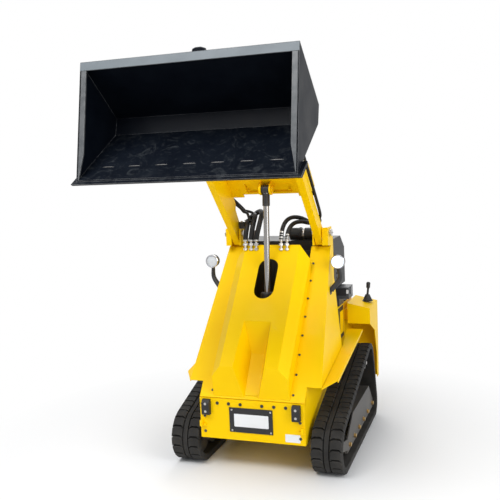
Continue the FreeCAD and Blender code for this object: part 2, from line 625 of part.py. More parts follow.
def loop_face(inset, facet=None):
    """Face inside the belt line round the three wheels, moved in by inset; its arcs may be in flat facets."""
    circles = [(y, z, r - inset) for y, z, r in WHEELS]
    contacts = []
    for k in range(3):
        y1, z1, r1 = circles[k]
        y2, z2, r2 = circles[(k + 1) % 3]
        distance = math.hypot(y2 - y1, z2 - z1)
        heading = math.atan2(z2 - z1, y2 - y1)
        contacts.append(heading - math.pi / 2 + math.asin((r1 - r2) / distance))
    edges = []
    for k in range(3):
        y1, z1, r1 = circles[k]
        y2, z2, r2 = circles[(k + 1) % 3]
        came, goes = contacts[k - 1], contacts[k]
        if goes < came:
            goes += 2 * math.pi
        steps = math.ceil(math.degrees(goes - came) / facet) if facet else 2
        turns = [came + (goes - came) * j / steps for j in range(steps + 1)]
        arc = [V(0, y1 + r1 * math.cos(a), z1 + r1 * math.sin(a)) for a in turns]
        if facet:
            edges += [Part.makeLine(one, other) for one, other in zip(arc, arc[1:])]
        else:
            edges.append(Part.Arc(*arc).toShape())
        end = V(0, y2 + r2 * math.cos(goes), z2 + r2 * math.sin(goes))
        edges.append(Part.makeLine(arc[-1], end))
    return Part.Face(Part.Wire(edges))


def lug_places():
    """Each link's place at the lugs' tips, with the direction along the belt and the one outwards."""
    fine = 8
    line = loop_face(PITCH_INSET).OuterWire.discretize(LINK_COUNT * fine + 1)[:-1]
    total = len(line)

    def at_tips(k):
        along = (line[(k + 1) % total] - line[k - 1]).normalize()
        return line[k] + V(0, along.z, -along.y) * PITCH_INSET

    places = []
    for k in range(0, total, fine):
        first, last = at_tips(k - 3), at_tips((k + 3) % total)
        along = (last - first).normalize()
        places.append(((first + last) / 2, along, V(0, along.z, -along.y)))
    return places




def rubber_track():
    """Left rubber track: one closed belt with two rows of pointed lugs and a plain rib between them."""
    belt = loop_face(LUG_HEIGHT, BELT_FACET).extrude(V(TRACK_WIDTH, 0, 0))
    belt.translate(V(TRACK_INNER, 0, 0))
    rib = loop_face(2, BELT_FACET).extrude(V(2 * RIB_HALF, 0, 0))
    rib.translate(V(TRACK_MID - RIB_HALF, 0, 0))
    inner = loop_face(LUG_HEIGHT + TRACK_BAND).extrude(V(TRACK_WIDTH + 20, 0, 0))
    inner.translate(V(TRACK_INNER - 10, 0, 0))
    plain = RIB_HALF + RIB_GAP
    rows = [(TRACK_INNER, TRACK_MID - plain), (TRACK_MID + plain, TRACK_INNER + TRACK_WIDTH)]
    root = LUG_HEIGHT + LUG_SINK
    lugs = []
    for tip, along, outward in lug_places():
        for x0, x1 in rows:
            ahead = [(x0, LUG_LENGTH / 2), ((x0 + x1) / 2, LUG_LENGTH / 2 + LUG_POINT), (x1, LUG_LENGTH / 2)]
            behind = [(x, s - LUG_LENGTH) for x, s in reversed(ahead)]
            corners = [tip - outward * root + along * s + V(x, 0, 0) for x, s in ahead + behind]
            lugs.append(Part.Face(Part.makePolygon(corners + corners[:1])).extrude(outward * root))
    return belt.fuse([rib] + lugs).cut(inner).cut(beyond((0, 0, 0), (0, 0, -1)))


BELT_IN = LUG_HEIGHT + TRACK_BAND + 0.5
ROLLER_STEP = (ROLLER_LAST_Y - ROLLER_FIRST_Y) / (ROLLER_COUNT - 1)
ROLLER_YS = [ROLLER_FIRST_Y + k * ROLLER_STEP for k in range(ROLLER_COUNT)]
ROLLER_Z = BELT_IN + ROLLER_R


def wheel(y, z, radius, width):
    """Wheel with a bore for its axle, in the middle of the left track."""
    disc = cross_rod(y, z, radius, TRACK_MID - width / 2, TRACK_MID + width / 2)
    hub = cross_rod(y, z, AXLE_R + 14, TRACK_MID - width / 2 - 8, TRACK_MID + width / 2 + 8)
    return fused([disc, hub]).cut(cross_rod(y, z, AXLE_R + RUN_FIT, 0, 900))


def idlers():
    """Front and rear idler wheels of the left track."""
    front = wheel(IDLER_Y, IDLER_OUT_R, IDLER_OUT_R - BELT_IN, WHEEL_WIDTH + 44)
    rear = wheel(TAIL_Y, TAIL_OUT_R, TAIL_OUT_R - BELT_IN, WHEEL_WIDTH + 44)
    return Part.Compound([front, rear])


def rollers():
    """Bottom rollers of the left track."""
    return Part.Compound([wheel(y, ROLLER_Z, ROLLER_R, WHEEL_WIDTH + 44) for y in ROLLER_YS])


def sprocket():
    """Drive sprocket of the left track on its motor's hub."""
    root_r = DRIVE_OUT_R - BELT_IN - 14
    disc = cross_rod(DRIVE_Y, DRIVE_Z, root_r, TRACK_MID - 16, TRACK_MID + 16)
    teeth = []
    count = 9
    for k in range(count):
        tooth = block(TRACK_MID - 14, TRACK_MID + 14, DRIVE_Y - 11, DRIVE_Y + 11,
                      DRIVE_Z + root_r - 8, DRIVE_Z + root_r + 13)
        tooth.rotate(V(0, DRIVE_Y, DRIVE_Z), V(1, 0, 0), 360.0 * k / count)
        teeth.append(tooth)
    motor = cross_rod(DRIVE_Y, DRIVE_Z, 56, BODY_HALF, TRACK_MID + 40)
    cap = cross_rod(DRIVE_Y, DRIVE_Z, 30, TRACK_MID + 40, TRACK_MID + 52)
    return fused([disc] + teeth + [motor, cap])


def track_frame():
    """Left track frame: a box over the rollers, two side plates, axles and two beams to the body."""
    rail_in = TRACK_MID - WHEEL_WIDTH / 2 - 22 - 12
    rail_out = TRACK_MID + WHEEL_WIDTH / 2 + 22 + 12
    low = ROLLER_Z - 30
    shape = [(ROLLER_YS[0] - 66, low), (TAIL_Y + 20, low), (TAIL_Y + 34, ROLLER_Z + 20),
             (TAIL_Y - 100, FRAME_TOP), (ROLLER_YS[0] + 120, FRAME_TOP), (ROLLER_YS[0] - 66, ROLLER_Z + 44)]
    outer_plate = side_plate(shape, rail_out, rail_out + 8)
    inner_plate = side_plate(shape, rail_in - 8, rail_in)
    top = [(ROLLER_YS[0] + 124, FRAME_TOP - 8), (TAIL_Y - 104, FRAME_TOP - 8), (TAIL_Y - 100, FRAME_TOP),
           (ROLLER_YS[0] + 120, FRAME_TOP)]
    roof = side_plate(top, rail_in - 8, rail_out + 8)
    yoke = [(IDLER_Y - 30, IDLER_OUT_R - 28), (ROLLER_YS[0] - 40, low + 12), (ROLLER_YS[0] - 40, low + 76),
            (IDLER_Y - 30, IDLER_OUT_R + 28)]
    yoke_out = side_plate(yoke, rail_out, rail_out + 8)
    yoke_in = side_plate(yoke, rail_in - 8, rail_in)
    axles = [cross_rod(y, ROLLER_Z, AXLE_R, rail_in - 8, rail_out + 8) for y in ROLLER_YS]
    axles.append(cross_rod(IDLER_Y, IDLER_OUT_R, AXLE_R, rail_in - 8, rail_out + 8))
    axles.append(cross_rod(TAIL_Y, TAIL_OUT_R, AXLE_R, rail_in - 8, rail_out + 8))
    beams = [block(BODY_HALF, rail_in - 8, y, y + 60, BODY_FLOOR + 4, BODY_FLOOR + 46) for y in (470, 860)]
    return fused([outer_plate, inner_plate, roof, yoke_out, yoke_in] + axles + beams)


# ---------------------------------------------------------------- lift arms

def lift_arm():
    """Left lift arm: a bent box tube with bosses at its pivot and at the bucket hinge."""
    mid = (ARM_FRONT + ARM_BACK) / 2
    half = (ARM_BACK - ARM_FRONT) / 2
    fore = math.atan2(HINGE_B - ELBOW_B, HINGE_A - ELBOW_A)
    turn = half * math.tan(abs(fore) / 2)
    side_a = half * math.sin(abs(fore))
    side_b = half * math.cos(fore)
    outline = [(-ARM_TAIL, ARM_FRONT), (ELBOW_A - turn, ARM_FRONT), (HINGE_A - side_a, HINGE_B - side_b),
               (HINGE_A + side_a, HINGE_B + side_b), (ELBOW_A + turn, ARM_BACK), (-ARM_TAIL, ARM_BACK)]
    tube = side_plate([on_arm(a, b) for a, b in outline], ARM_INNER, ARM_OUTER)
    gusset_back = CROSS_FACE_B + CROSS_DEPTH
    gusset = [(-20, ARM_BACK - 1), (20, ARM_BACK + 17), (68, ARM_BACK + 24), (160, ARM_BACK + 41),
              (178, CROSS_FACE_B - 7), (CROSS_A[0] - 29, CROSS_FACE_B), (CROSS_A[0] - 20, gusset_back),
              (CROSS_A[1], gusset_back), (CROSS_A[1] + 190, ARM_BACK - 1)]
    plate = side_plate([on_arm(a, b) for a, b in gusset], ARM_INNER, ARM_INNER + 12)
    eye = cross_rod(HINGE[0], HINGE[1], HINGE_R, ARM_INNER, ARM_OUTER)
    boss = cross_rod(PIVOT_Y, PIVOT_Z, PIVOT_PIN_R + 12, ARM_OUTER, TOWER_HALF - TOWER_PLATE - 5)
    whole = fused([tube, plate, eye, boss])
    whole = whole.cut(cross_rod(PIVOT_Y, PIVOT_Z, PIVOT_PIN_R, 0, 600))
    return whole.cut(cross_rod(HINGE[0], HINGE[1], HINGE_PIN_R + RUN_FIT, 0, 600))


def pivot_pins():
    """Pins of the arms' pivots, fixed in the arms and turning in the towers."""
    start = ARM_INNER - SIDE_GAP - TOWER_PLATE - 8
    return both_sides(cross_rod(PIVOT_Y, PIVOT_Z, PIVOT_PIN_R, start, TOWER_HALF + 10))


def crossmember():
    """Box beam between the arms, with a front lip, a window and two clevises."""
    a0, a1 = CROSS_A
    b0 = CROSS_FACE_B
    b1 = b0 + CROSS_DEPTH
    beam = side_plate([on_arm(a0, b0), on_arm(a1 - 15, b0), on_arm(a1 - 15, b1), on_arm(a0, b1)],
                      -ARM_INNER, ARM_INNER)
    hollow = side_plate([on_arm(a0 + CROSS_WALL, b0 + CROSS_WALL), on_arm(a1 - 15 - CROSS_WALL, b0 + CROSS_WALL),
                         on_arm(a1 - 15 - CROSS_WALL, b1 - CROSS_WALL), on_arm(a0 + CROSS_WALL, b1 - CROSS_WALL)],
                        -ARM_INNER + 20, ARM_INNER - 20)
    pocket = side_plate([on_arm(a0 + 17, b0 - 2), on_arm(a0 + 91, b0 - 2), on_arm(a0 + 91, b0 + POCKET),
                         on_arm(a0 + 17, b0 + POCKET)], -146, 146)
    lining = side_plate([on_arm(a0 + 17 - CROSS_WALL, b0 - 2), on_arm(a0 + 91 + CROSS_WALL, b0 - 2),
                         on_arm(a0 + 91 + CROSS_WALL, b0 + POCKET + CROSS_WALL),
                         on_arm(a0 + 17 - CROSS_WALL, b0 + POCKET + CROSS_WALL)], -146 - CROSS_WALL, 146 + CROSS_WALL)
    lip = side_plate([on_arm(a1 - 21, b0 + 2), on_arm(a1 - 15, b0 + 2), on_arm(a1, LIP_B), on_arm(a1 - 8, LIP_B)],
                     -200, 200)
    gusset = [on_arm(a0 - 26, b0), on_arm(a0, b0), on_arm(a0, b0 + CROSS_WALL), on_arm(a0 - 26, b0 + CROSS_WALL)]
    corner = side_plate(gusset, 177, ARM_INNER)
    slant = beyond((177, on_arm(a0, b0)[0], on_arm(a0, b0)[1]), (-26, 73 * -ALONG[0] * -1, 73 * -ALONG[1] * -1))
    corner = corner.cut(slant)
    ear_in = LIFT_EYE_WIDTH / 2 + 3
    ear_out = ear_in + EAR_THICK
    ear_foot = [on_arm(LIFT_EYE_A - 34, b0 + POCKET), on_arm(LIFT_EYE_A + 34, b0 + POCKET),
                on_arm(LIFT_EYE_A + 34, LIFT_EYE_B), on_arm(LIFT_EYE_A - 34, LIFT_EYE_B)]
    ear = side_plate(ear_foot, ear_in, ear_out)
    ear = ear.fuse(cross_rod(LIFT_EYE[0], LIFT_EYE[1], 34, ear_in, ear_out))
    nut = cross_rod(LIFT_EYE[0], LIFT_EYE[1], LIFT_PIN_R + 4, ear_out, ear_out + 9)
    base_in = TILT_EYE_WIDTH / 2 + 3
    base_out = base_in + EAR_THICK
    base_foot = [on_arm(a1 - 16, b1 - 60), on_arm(a1 - 16, b1), on_arm(TILT_BASE_A, TILT_BASE_B + 34),
                 on_arm(TILT_BASE_A, TILT_BASE_B - 34)]
    base = side_plate(base_foot, base_in, base_out)
    base = base.fuse(cross_rod(TILT_BASE[0], TILT_BASE[1], 34, base_in, base_out))
    base_pin = cross_rod(TILT_BASE[0], TILT_BASE[1], TILT_PIN_R, -base_out - 8, base_out + 8)
    whole = beam.cut(hollow.cut(lining)).cut(pocket)
    return fused([whole, lip, corner, mirrored(corner), ear, mirrored(ear), nut, mirrored(nut),
                  base, mirrored(base), base_pin])


# ---------------------------------------------------------------- cylinders

def cylinder_tube(base, eye, radius, bore, length, rod_r, pin_r, eye_r, eye_width):
    """Hollow cylinder tube with its base eye and gland, from base towards eye."""
    line = unit(base, eye)[0]

    def at(s):
        return (0, base[0] + s * line[0], base[1] + s * line[1])

    outer = rod(at(eye_r + 12), at(length - 24), radius)
    neck = rod(at(eye_r - 10), at(eye_r + 16), eye_width / 2 - 2)
    gland = rod(at(length - 36), at(length), radius - 2)
    hollow = rod(at(eye_r + 18), at(length - 34), bore)
    passage = rod(at(length - 40), at(length + 5), rod_r + RUN_FIT)
    ring = cross_rod(base[0], base[1], eye_r, -eye_width / 2, eye_width / 2)
    hole = cross_rod(base[0], base[1], pin_r + RUN_FIT, -100, 100)
    return fused([outer, neck, gland, ring]).cut(hollow).cut(passage).cut(hole)


def cylinder_rod(base, eye, bore, length, rod_r, pin_r, eye_r, eye_width, neck_r, neck_len):
    """Rod with its piston and the eye at its end; the eye holds its own bush."""
    line, reach = unit(base, eye)

    def at(s):
        return (0, base[0] + s * line[0], base[1] + s * line[1])

    piston = rod(at(length - 74), at(length - 38), bore - 0.1)
    bar = rod(at(length - 60), at(reach - eye_r + 4), rod_r)
    neck = rod(at(reach - neck_len), at(reach - eye_r + 6), neck_r)
    ring = cross_rod(eye[0], eye[1], eye_r, -eye_width / 2, eye_width / 2)
    return fused([piston, bar, neck, ring])


def lift_tube():
    """Tube of the lift cylinder."""
    return cylinder_tube(LIFT_BASE, LIFT_EYE, LIFT_TUBE_R, LIFT_BORE_R, LIFT_TUBE_LEN, LIFT_ROD_R, LIFT_PIN_R,
                         LIFT_EYE_R + 5, LIFT_EYE_WIDTH)


def lift_rod():
    """Rod of the lift cylinder, with its piston and eye."""
    return cylinder_rod(LIFT_BASE, LIFT_EYE, LIFT_BORE_R, LIFT_TUBE_LEN, LIFT_ROD_R, LIFT_PIN_R, LIFT_EYE_R,
                        LIFT_EYE_WIDTH, 22, 92)


def tilt_tube():
    """Tube of the tilt cylinder."""
    return cylinder_tube(TILT_BASE, TILT_PIN, TILT_TUBE_R, TILT_BORE_R, TILT_TUBE_LEN, TILT_ROD_R, TILT_PIN_R,
                         TILT_EYE_R, TILT_EYE_WIDTH)


def tilt_rod():
    """Rod of the tilt cylinder, with its piston and eye."""
    return cylinder_rod(TILT_BASE, TILT_PIN, TILT_BORE_R, TILT_TUBE_LEN, TILT_ROD_R, TILT_PIN_R, TILT_EYE_R,
                        TILT_EYE_WIDTH, 19, 60)


# ---------------------------------------------------------------- bucket and its carrier

CARRIER_HALF = ARM_INNER - SIDE_GAP
HINGE_PIN_IN = CARRIER_HALF - 30
HINGE_PIN_OUT = ARM_OUTER + SIDE_GAP + 20


def hinge_pins():
    """Pins of the bucket hinges, which turn in the arms and in the carrier."""
    return both_sides(cross_rod(HINGE[0], HINGE[1], HINGE_PIN_R, HINGE_PIN_IN, HINGE_PIN_OUT))


def bucket_carrier():
    """Frame behind the bucket: uprights, two bars, hinge ears outside the arms and the tilt clevis."""
    n0 = 0.0
    hinge_s = (HINGE[0] - BUCKET_HEEL[0]) * BACK_DIR[0] + (HINGE[1] - BUCKET_HEEL[1]) * BACK_DIR[1]
    hinge_n = (HINGE[0] - BUCKET_HEEL[0]) * BACK_OUT[0] + (HINGE[1] - BUCKET_HEEL[1]) * BACK_OUT[1]
    upright = side_plate([on_back(30, n0), on_back(340, n0), on_back(340, 26), on_back(hinge_s + 60, hinge_n + 20),
                          on_back(hinge_s, hinge_n + 30), on_back(hinge_s - 40, hinge_n + 12), on_back(30, 26)],
                         CARRIER_HALF - 12, CARRIER_HALF)
    outer_ear = side_plate([on_back(hinge_s - 50, n0), on_back(hinge_s + 50, n0), on_back(hinge_s + 24, hinge_n + 20),
                            on_back(hinge_s, hinge_n + 28), on_back(hinge_s - 24, hinge_n + 20)],
                           ARM_OUTER + SIDE_GAP, ARM_OUTER + SIDE_GAP + 12)
    low_bar = side_plate([on_back(34, n0), on_back(70, n0), on_back(70, 24), on_back(34, 24)],
                         -CARRIER_HALF, CARRIER_HALF)
    foot_bar = side_plate([on_back(hinge_s - 50, n0), on_back(hinge_s - 44, n0), on_back(hinge_s - 44, 3),
                           on_back(hinge_s - 50, 3)], CARRIER_HALF - 12, ARM_OUTER + SIDE_GAP + 12)
    high_bar = side_plate([on_back(306, n0), on_back(340, n0), on_back(340, 24), on_back(306, 24)],
                          -CARRIER_HALF, CARRIER_HALF)
    ear_in = TILT_EYE_WIDTH / 2 + 3
    ear_out = ear_in + EAR_THICK
    ear = side_plate([on_back(34, 6), on_back(340, 6), on_back(336, 30), on_back(TILT_PIN_S + 30, TILT_PIN_OFF + 16),
                      on_back(TILT_PIN_S, TILT_PIN_OFF + 30), on_back(TILT_PIN_S - 30, TILT_PIN_OFF + 16),
                      on_back(TILT_PIN_S - 100, 30), on_back(34, 24)], ear_in, ear_out)
    nut = cross_rod(TILT_PIN[0], TILT_PIN[1], TILT_PIN_R + 4, ear_out, ear_out + 9)
    bore = cross_rod(HINGE[0], HINGE[1], HINGE_PIN_R + RUN_FIT, -600, 600)
    pieces = [low_bar, high_bar]
    for piece in (upright, outer_ear, foot_bar, ear, nut):
        pieces += [piece, mirrored(piece)]
    return fused(pieces).cut(bore)


def bucket():
    """Sheet bucket: floor, heel, back, two sides and a folded lip."""
    shape = [BUCKET_LIP, BUCKET_HEEL, BUCKET_TOE, BUCKET_EDGE]
    outer = side_plate(shape, -BUCKET_HALF, BUCKET_HALF)
    t = BUCKET_SHEET
    back_in = (-BACK_OUT[0] * t, -BACK_OUT[1] * t)
    heel_dir = unit(BUCKET_HEEL, BUCKET_TOE)[0]
    heel_in = (heel_dir[1] * t, -heel_dir[0] * t)
    floor_dir = unit(BUCKET_TOE, BUCKET_EDGE)[0]
    floor_in = (floor_dir[1] * t, -floor_dir[0] * t)
    half = BUCKET_HALF - BUCKET_SIDE
    inner = Part.makeBox(2 * half, 3000, 3000, V(-half, -2000, 500))
    for point, shift in ((BUCKET_HEEL, back_in), (BUCKET_HEEL, heel_in), (BUCKET_TOE, floor_in)):
        inner = inner.cut(beyond((0, point[0] + shift[0], point[1] + shift[1]), (0, -shift[0], -shift[1])))
    shell = outer.cut(inner)
    mouth = unit(BUCKET_LIP, BUCKET_EDGE)[0]
    inward = (-mouth[1], mouth[0])
    fold = [(0, 0), (LIP_FOLD, 0), (LIP_FOLD, t), (0, t)]
    fold = side_plate([(BUCKET_LIP[0] + u * mouth[0] + w * inward[0], BUCKET_LIP[1] + u * mouth[1] + w * inward[1])
                       for u, w in fold], -BUCKET_HALF, BUCKET_HALF)
    hook = side_plate([on_back(BACK_LEN - 48, -1), on_back(BACK_LEN - 8, -1), on_back(BACK_LEN - 14, 16),
                       on_back(BACK_LEN - 42, 16)], HOOK_X - HOOK_HALF, HOOK_X + HOOK_HALF)
    return fused([shell, fold, hook])


def cutting_edge():
    """Bolted edge under the front of the floor, a little wider than the bucket."""
    line = unit(BUCKET_TOE, BUCKET_EDGE)[0]
    down = (-line[1], line[0])
    tip = (BUCKET_EDGE[0] + line[0] * 22, BUCKET_EDGE[1] + line[1] * 22)
    rear = (BUCKET_EDGE[0] - line[0] * (EDGE_DEPTH - 22), BUCKET_EDGE[1] - line[1] * (EDGE_DEPTH - 22))
    below_rear = (rear[0] + down[0] * EDGE_THICK, rear[1] + down[1] * EDGE_THICK)
    below_tip = (tip[0] + down[0] * EDGE_THICK - line[0] * 12, tip[1] + down[1] * EDGE_THICK - line[1] * 12)
    half = BUCKET_HALF + EDGE_OVERHANG
    return side_plate([tip, rear, below_rear, below_tip], -half, half)


# ---------------------------------------------------------------- hydraulic hoses, held at both ends

HOSE_R = 11.0
ARM_HOSE_R = 9.0
FITTING_TOP_Y = 500.0
LEFT_CLAMP_Y = 634.0         # middle of the hose clamps on the towers
RIGHT_CLAMP_Y = 658.0
CLAMP_FACE = ARM_INNER - SIDE_GAP - 32.0
CLAMP_Z = 1386.0
HOSE_STEP = 26.0             # between hoses side by side

# the left hoses run from their fittings over to the left tower, the right ones to the right tower
LEFT_HOSES = [
    [(-171, 500, 1300), (-168, 512, 1350), (-166, 546, 1398), (-180, 590, 1412)],
    [(-134, 500, 1300), (-128, 513, 1366), (-120, 548, 1424), (-130, 600, 1448), (-172, 634, 1432)],
    [(-100, 500, 1300), (-87, 514, 1370), (-76, 560, 1442), (-92, 616, 1468), (-142, 654, 1454), (-184, 662, 1416)],
]
RIGHT_HOSES = [
    [(99, 500, 1300), (102, 511, 1350), (124, 550, 1390), (156, 600, 1398), (180, 640, 1392)],
    [(62, 500, 1300), (66, 514, 1370), (90, 548, 1418), (126, 596, 1427), (160, 646, 1414), (184, 671, 1398)],
]


def hose(points, radius):
    """Round hose of straight runs and tangent arcs, each arc as large as its two runs allow."""
    corners = [V(*p) for p in points]
    edges = []
    start = corners[0]
    for before, corner, after in zip(corners, corners[1:], corners[2:]):
        back = before - corner
        ahead = after - corner
        reach = 0.45 * min(back.Length, ahead.Length)
        back.normalize()
        ahead.normalize()
        half_turn = (math.pi - back.getAngle(ahead)) / 2
        bend = reach / math.tan(half_turn)
        first = corner + back * reach
        last = corner + ahead * reach
        middle = corner + (back + ahead).normalize() * (bend / math.cos(half_turn) - bend)
        edges.append(Part.makeLine(start, first))
        edges.append(Part.Arc(first, middle, last).toShape())
        start = last
    edges.append(Part.makeLine(start, corners[-1]))
    path = Part.Wire(edges)
    ring = Part.Wire([Part.Circle(corners[0], corners[1] - corners[0], radius).toShape()])
    return path.makePipeShell([ring], True, False)


def clamp_run(side, middle_y, k, count):
    """Last straight run of hose k of one side, square into the clamp on its tower."""
    y = middle_y + (k - (count - 1) / 2) * HOSE_STEP
    return [(side * (CLAMP_FACE - 18), y, CLAMP_Z), (side * CLAMP_FACE, y, CLAMP_Z)]


def chassis_hoses():
    """Hoses from the fittings on the hood to the clamps on the towers."""
    tubes = []
    for side, middle_y, routes in ((-1, LEFT_CLAMP_Y, LEFT_HOSES), (1, RIGHT_CLAMP_Y, RIGHT_HOSES)):
        for k, route in enumerate(routes):
            tubes.append(hose(route + clamp_run(side, middle_y, k, len(routes)), HOSE_R))
    return Part.Compound(tubes)


def hose_fittings():
    """Steel elbows through the hood, one under each hose."""
    elbows = []
    for route in LEFT_HOSES + RIGHT_HOSES:
        top = V(*route[0])
        foot_z = HOOD_Z + (FITTING_TOP_Y - 6 - HOOD_Y) * HOOD_RISE + SEAT_GAP
        foot = V(top.x, FITTING_TOP_Y - 6, foot_z)
        leg = rod(tuple(foot), tuple(top), HOSE_R - 3)
        nut = rod(tuple(foot), tuple(foot + (top - foot) * 0.3), HOSE_R + 3)
        sleeve = rod(tuple(foot + (top - foot) * 0.66), tuple(top), HOSE_R + 1.5)
        below = beyond((0, HOOD_Y, HOOD_Z + SEAT_GAP), (0, HOOD_RISE, -1))
        ahead = (V(*route[1]) - top).normalize()
        above = beyond(tuple(top - ahead * SEAT_GAP), tuple(ahead))
        elbows.append(fused([leg, nut, sleeve]).cut(below).cut(above))
    return Part.Compound(elbows)


def hose_clamps():
    """Rubber-lined clamps that hold the hoses on the towers' inner plates."""
    clamps = []
    for side, middle_y, count in ((-1, LEFT_CLAMP_Y, len(LEFT_HOSES)), (1, RIGHT_CLAMP_Y, len(RIGHT_HOSES))):
        half = (count - 1) / 2 * HOSE_STEP + HOSE_R + 4
        body = block(CLAMP_FACE + SEAT_GAP, ARM_INNER - SIDE_GAP, middle_y - half, middle_y + half,
                     TOWER_TOP, CLAMP_Z + HOSE_R + 4)
        clamps.append(body if side > 0 else mirrored(body))
    return Part.Compound(clamps)


def arm_hoses():
    """Hoses along the arms' rear sides: two inside the left arm's gusset and one outside the right arm."""
    stand_off = ARM_BACK + ARM_HOSE_R + 4

    def route(x, points):
        return [(side_x if side_x is not None else x,) + on_arm(a, b) for side_x, a, b in points]

    solids = []
    right_x = ARM_OUTER + ARM_HOSE_R
    right = hose(route(right_x, [(ARM_OUTER - 16, 86, stand_off), (right_x - 2, 118, stand_off + 2),
                                 (right_x, 230, stand_off), (right_x + 1, 440, stand_off + 1),
                                 (right_x, 760, stand_off), (right_x - 1, 1000, stand_off - 1)]), ARM_HOSE_R)
    clips = [side_plate([on_arm(a - 14, ARM_BACK), on_arm(a + 14, ARM_BACK), on_arm(a + 14, stand_off + 2),
                         on_arm(a - 14, stand_off + 2)], ARM_OUTER - 26, right_x) for a in (86, 330, 640, 990)]
    solids.append(fused([right] + clips))
    left = []
    for k in range(2):
        x = -(ARM_INNER + 12 + 16 + k * (2 * ARM_HOSE_R + 3))
        left.append(hose([(-214, 634 - k * 22, 1470 - k * 6), (-232, 622 - k * 20, 1494 - k * 2),
                          (x + 12, *on_arm(178, 122 - k * 4)), (x, *on_arm(240, 112)), (x, *on_arm(340, 78)),
                          (x, *on_arm(470, 52)), (x, *on_arm(560, 46))], ARM_HOSE_R))
    tie = side_plate([on_arm(540, ARM_BACK), on_arm(572, ARM_BACK), on_arm(572, 60), on_arm(540, 60)],
                     -ARM_OUTER - 8, -ARM_INNER - 14)
    solids.append(fused(left + [tie]))
    return Part.Compound(solids)


# ---------------------------------------------------------------- all the pieces, each a node

PARTS = {
    "chassis_tub": chassis_tub(),
    "front_panel": front_panel(),
    "sign_plate": sign_plate(),
    "stop_pads": stop_pads(),
    "upper_frame": upper_frame(),
    "fenders": fenders(),
    "hood": hood(),
    "tower_left": tower(),
    "tower_right": mirrored(tower()),
    "engine_housing": engine_housing(),
    "engine_block": engine_block(),
    "engine_shroud": engine_cowl(),
    "side_box_left": side_box(),
    "side_box_right": mirrored(side_box()),
    "operator_step": operator_step(),
    "control_console": control_console(),
    "control_levers": control_levers(),
    "battery_box": battery_box(),
    "work_lights": work_lights(),
    "hose_fittings": hose_fittings(),
    "hose_clamps": hose_clamps(),
    "chassis_hoses": chassis_hoses(),
    "track_left": rubber_track(),
    "track_right": mirrored(rubber_track()),
    "idlers_left": idlers(),
    "idlers_right": mirrored(idlers()),
    "rollers_left": rollers(),
    "rollers_right": mirrored(rollers()),
    "sprocket_left": sprocket(),
    "sprocket_right": mirrored(sprocket()),
    "track_frame_left": track_frame(),
    "track_frame_right": mirrored(track_frame()),
    "arm_left": lift_arm(),
    "arm_right": mirrored(lift_arm()),
    "pivot_pins": pivot_pins(),
    "crossmember": crossmember(),
    "arm_hoses": arm_hoses(),
    "lift_tube": lift_tube(),
    "lift_rod": lift_rod(),
    "tilt_tube": tilt_tube(),
    "tilt_rod": tilt_rod(),
    "hinge_pins": hinge_pins(),
    "bucket_carrier": bucket_carrier(),
    "bucket": bucket(),
    "cutting_edge": cutting_edge(),
}

box = Part.Compound(list(PARTS.values())).BoundBox
SHIFT = V(-(box.XMin + box.XMax) / 2, -(box.YMin + box.YMax) / 2, -box.ZMin)
os.makedirs("parts", exist_ok=True)
for name, shape in PARTS.items():
    placed = shape.copy()
    placed.translate(SHIFT)
    placed.exportStep("parts/" + name + ".step")
    print(name, len(placed.Solids), round(placed.Volume), placed.isValid())
print("size", round(box.XLength), round(box.YLength), round(box.ZLength), "shift", SHIFT)
for label, point in (("pivot", PIVOT), ("hinge", HINGE), ("lift eye", LIFT_EYE), ("lift base", LIFT_BASE),
                     ("tilt base", TILT_BASE), ("tilt pin", TILT_PIN)):
    print("place", label, round(point[0] + SHIFT.y, 4), round(point[1] + SHIFT.z, 4))
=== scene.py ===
"""Looks of a compact stand-on track loader: its studio, its finishes and the pieces that dress its frame."""

from __future__ import annotations

import logging
import math
from dataclasses import dataclass, field
from enum import Enum

import bmesh
import bpy
import numpy as np
from mathutils import Matrix, Vector


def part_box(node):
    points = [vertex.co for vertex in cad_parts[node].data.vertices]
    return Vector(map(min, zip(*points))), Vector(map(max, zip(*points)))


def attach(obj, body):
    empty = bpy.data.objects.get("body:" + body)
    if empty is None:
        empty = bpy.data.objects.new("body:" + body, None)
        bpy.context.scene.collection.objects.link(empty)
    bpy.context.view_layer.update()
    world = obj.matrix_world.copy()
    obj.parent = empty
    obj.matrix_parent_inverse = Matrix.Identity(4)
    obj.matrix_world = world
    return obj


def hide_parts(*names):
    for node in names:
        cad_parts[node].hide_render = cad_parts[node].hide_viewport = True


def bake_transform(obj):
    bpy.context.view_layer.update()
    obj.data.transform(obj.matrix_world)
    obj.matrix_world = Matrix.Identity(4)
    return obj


Pair = tuple[float, float]
Point = tuple[float, float, float]
Colour = tuple[float, float, float]
Tree = bpy.types.NodeTree
Socket = bpy.types.NodeSocket
log = logging.getLogger("loader")
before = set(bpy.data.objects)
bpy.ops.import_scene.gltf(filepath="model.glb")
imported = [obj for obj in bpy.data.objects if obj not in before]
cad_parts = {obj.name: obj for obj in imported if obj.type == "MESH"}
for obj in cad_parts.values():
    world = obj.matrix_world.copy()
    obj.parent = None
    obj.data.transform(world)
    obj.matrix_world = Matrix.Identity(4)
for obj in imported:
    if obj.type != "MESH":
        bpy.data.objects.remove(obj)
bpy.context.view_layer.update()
FRONT_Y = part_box("sign_plate")[1][1]
MILLIMETRE = 0.001
LEFTWARDS = (1.0, 0.0, 0.0)      # sides and ways are the machine's own, seen from its operator's place
FORWARDS = (0.0, -1.0, 0.0)
BACKWARDS = (0.0, 1.0, 0.0)
UPWARDS = (0.0, 0.0, 1.0)


class Body(str, Enum):
    """The moving bodies that a piece can ride on."""

    CHASSIS = "chassis"
    ARMS = "arms"
    BUCKET = "bucket"
    LIFT_BARREL = "lift_barrel"
    LIFT_ROD = "lift_rod"
    TILT_BARREL = "tilt_barrel"
    TILT_ROD = "tilt_rod"


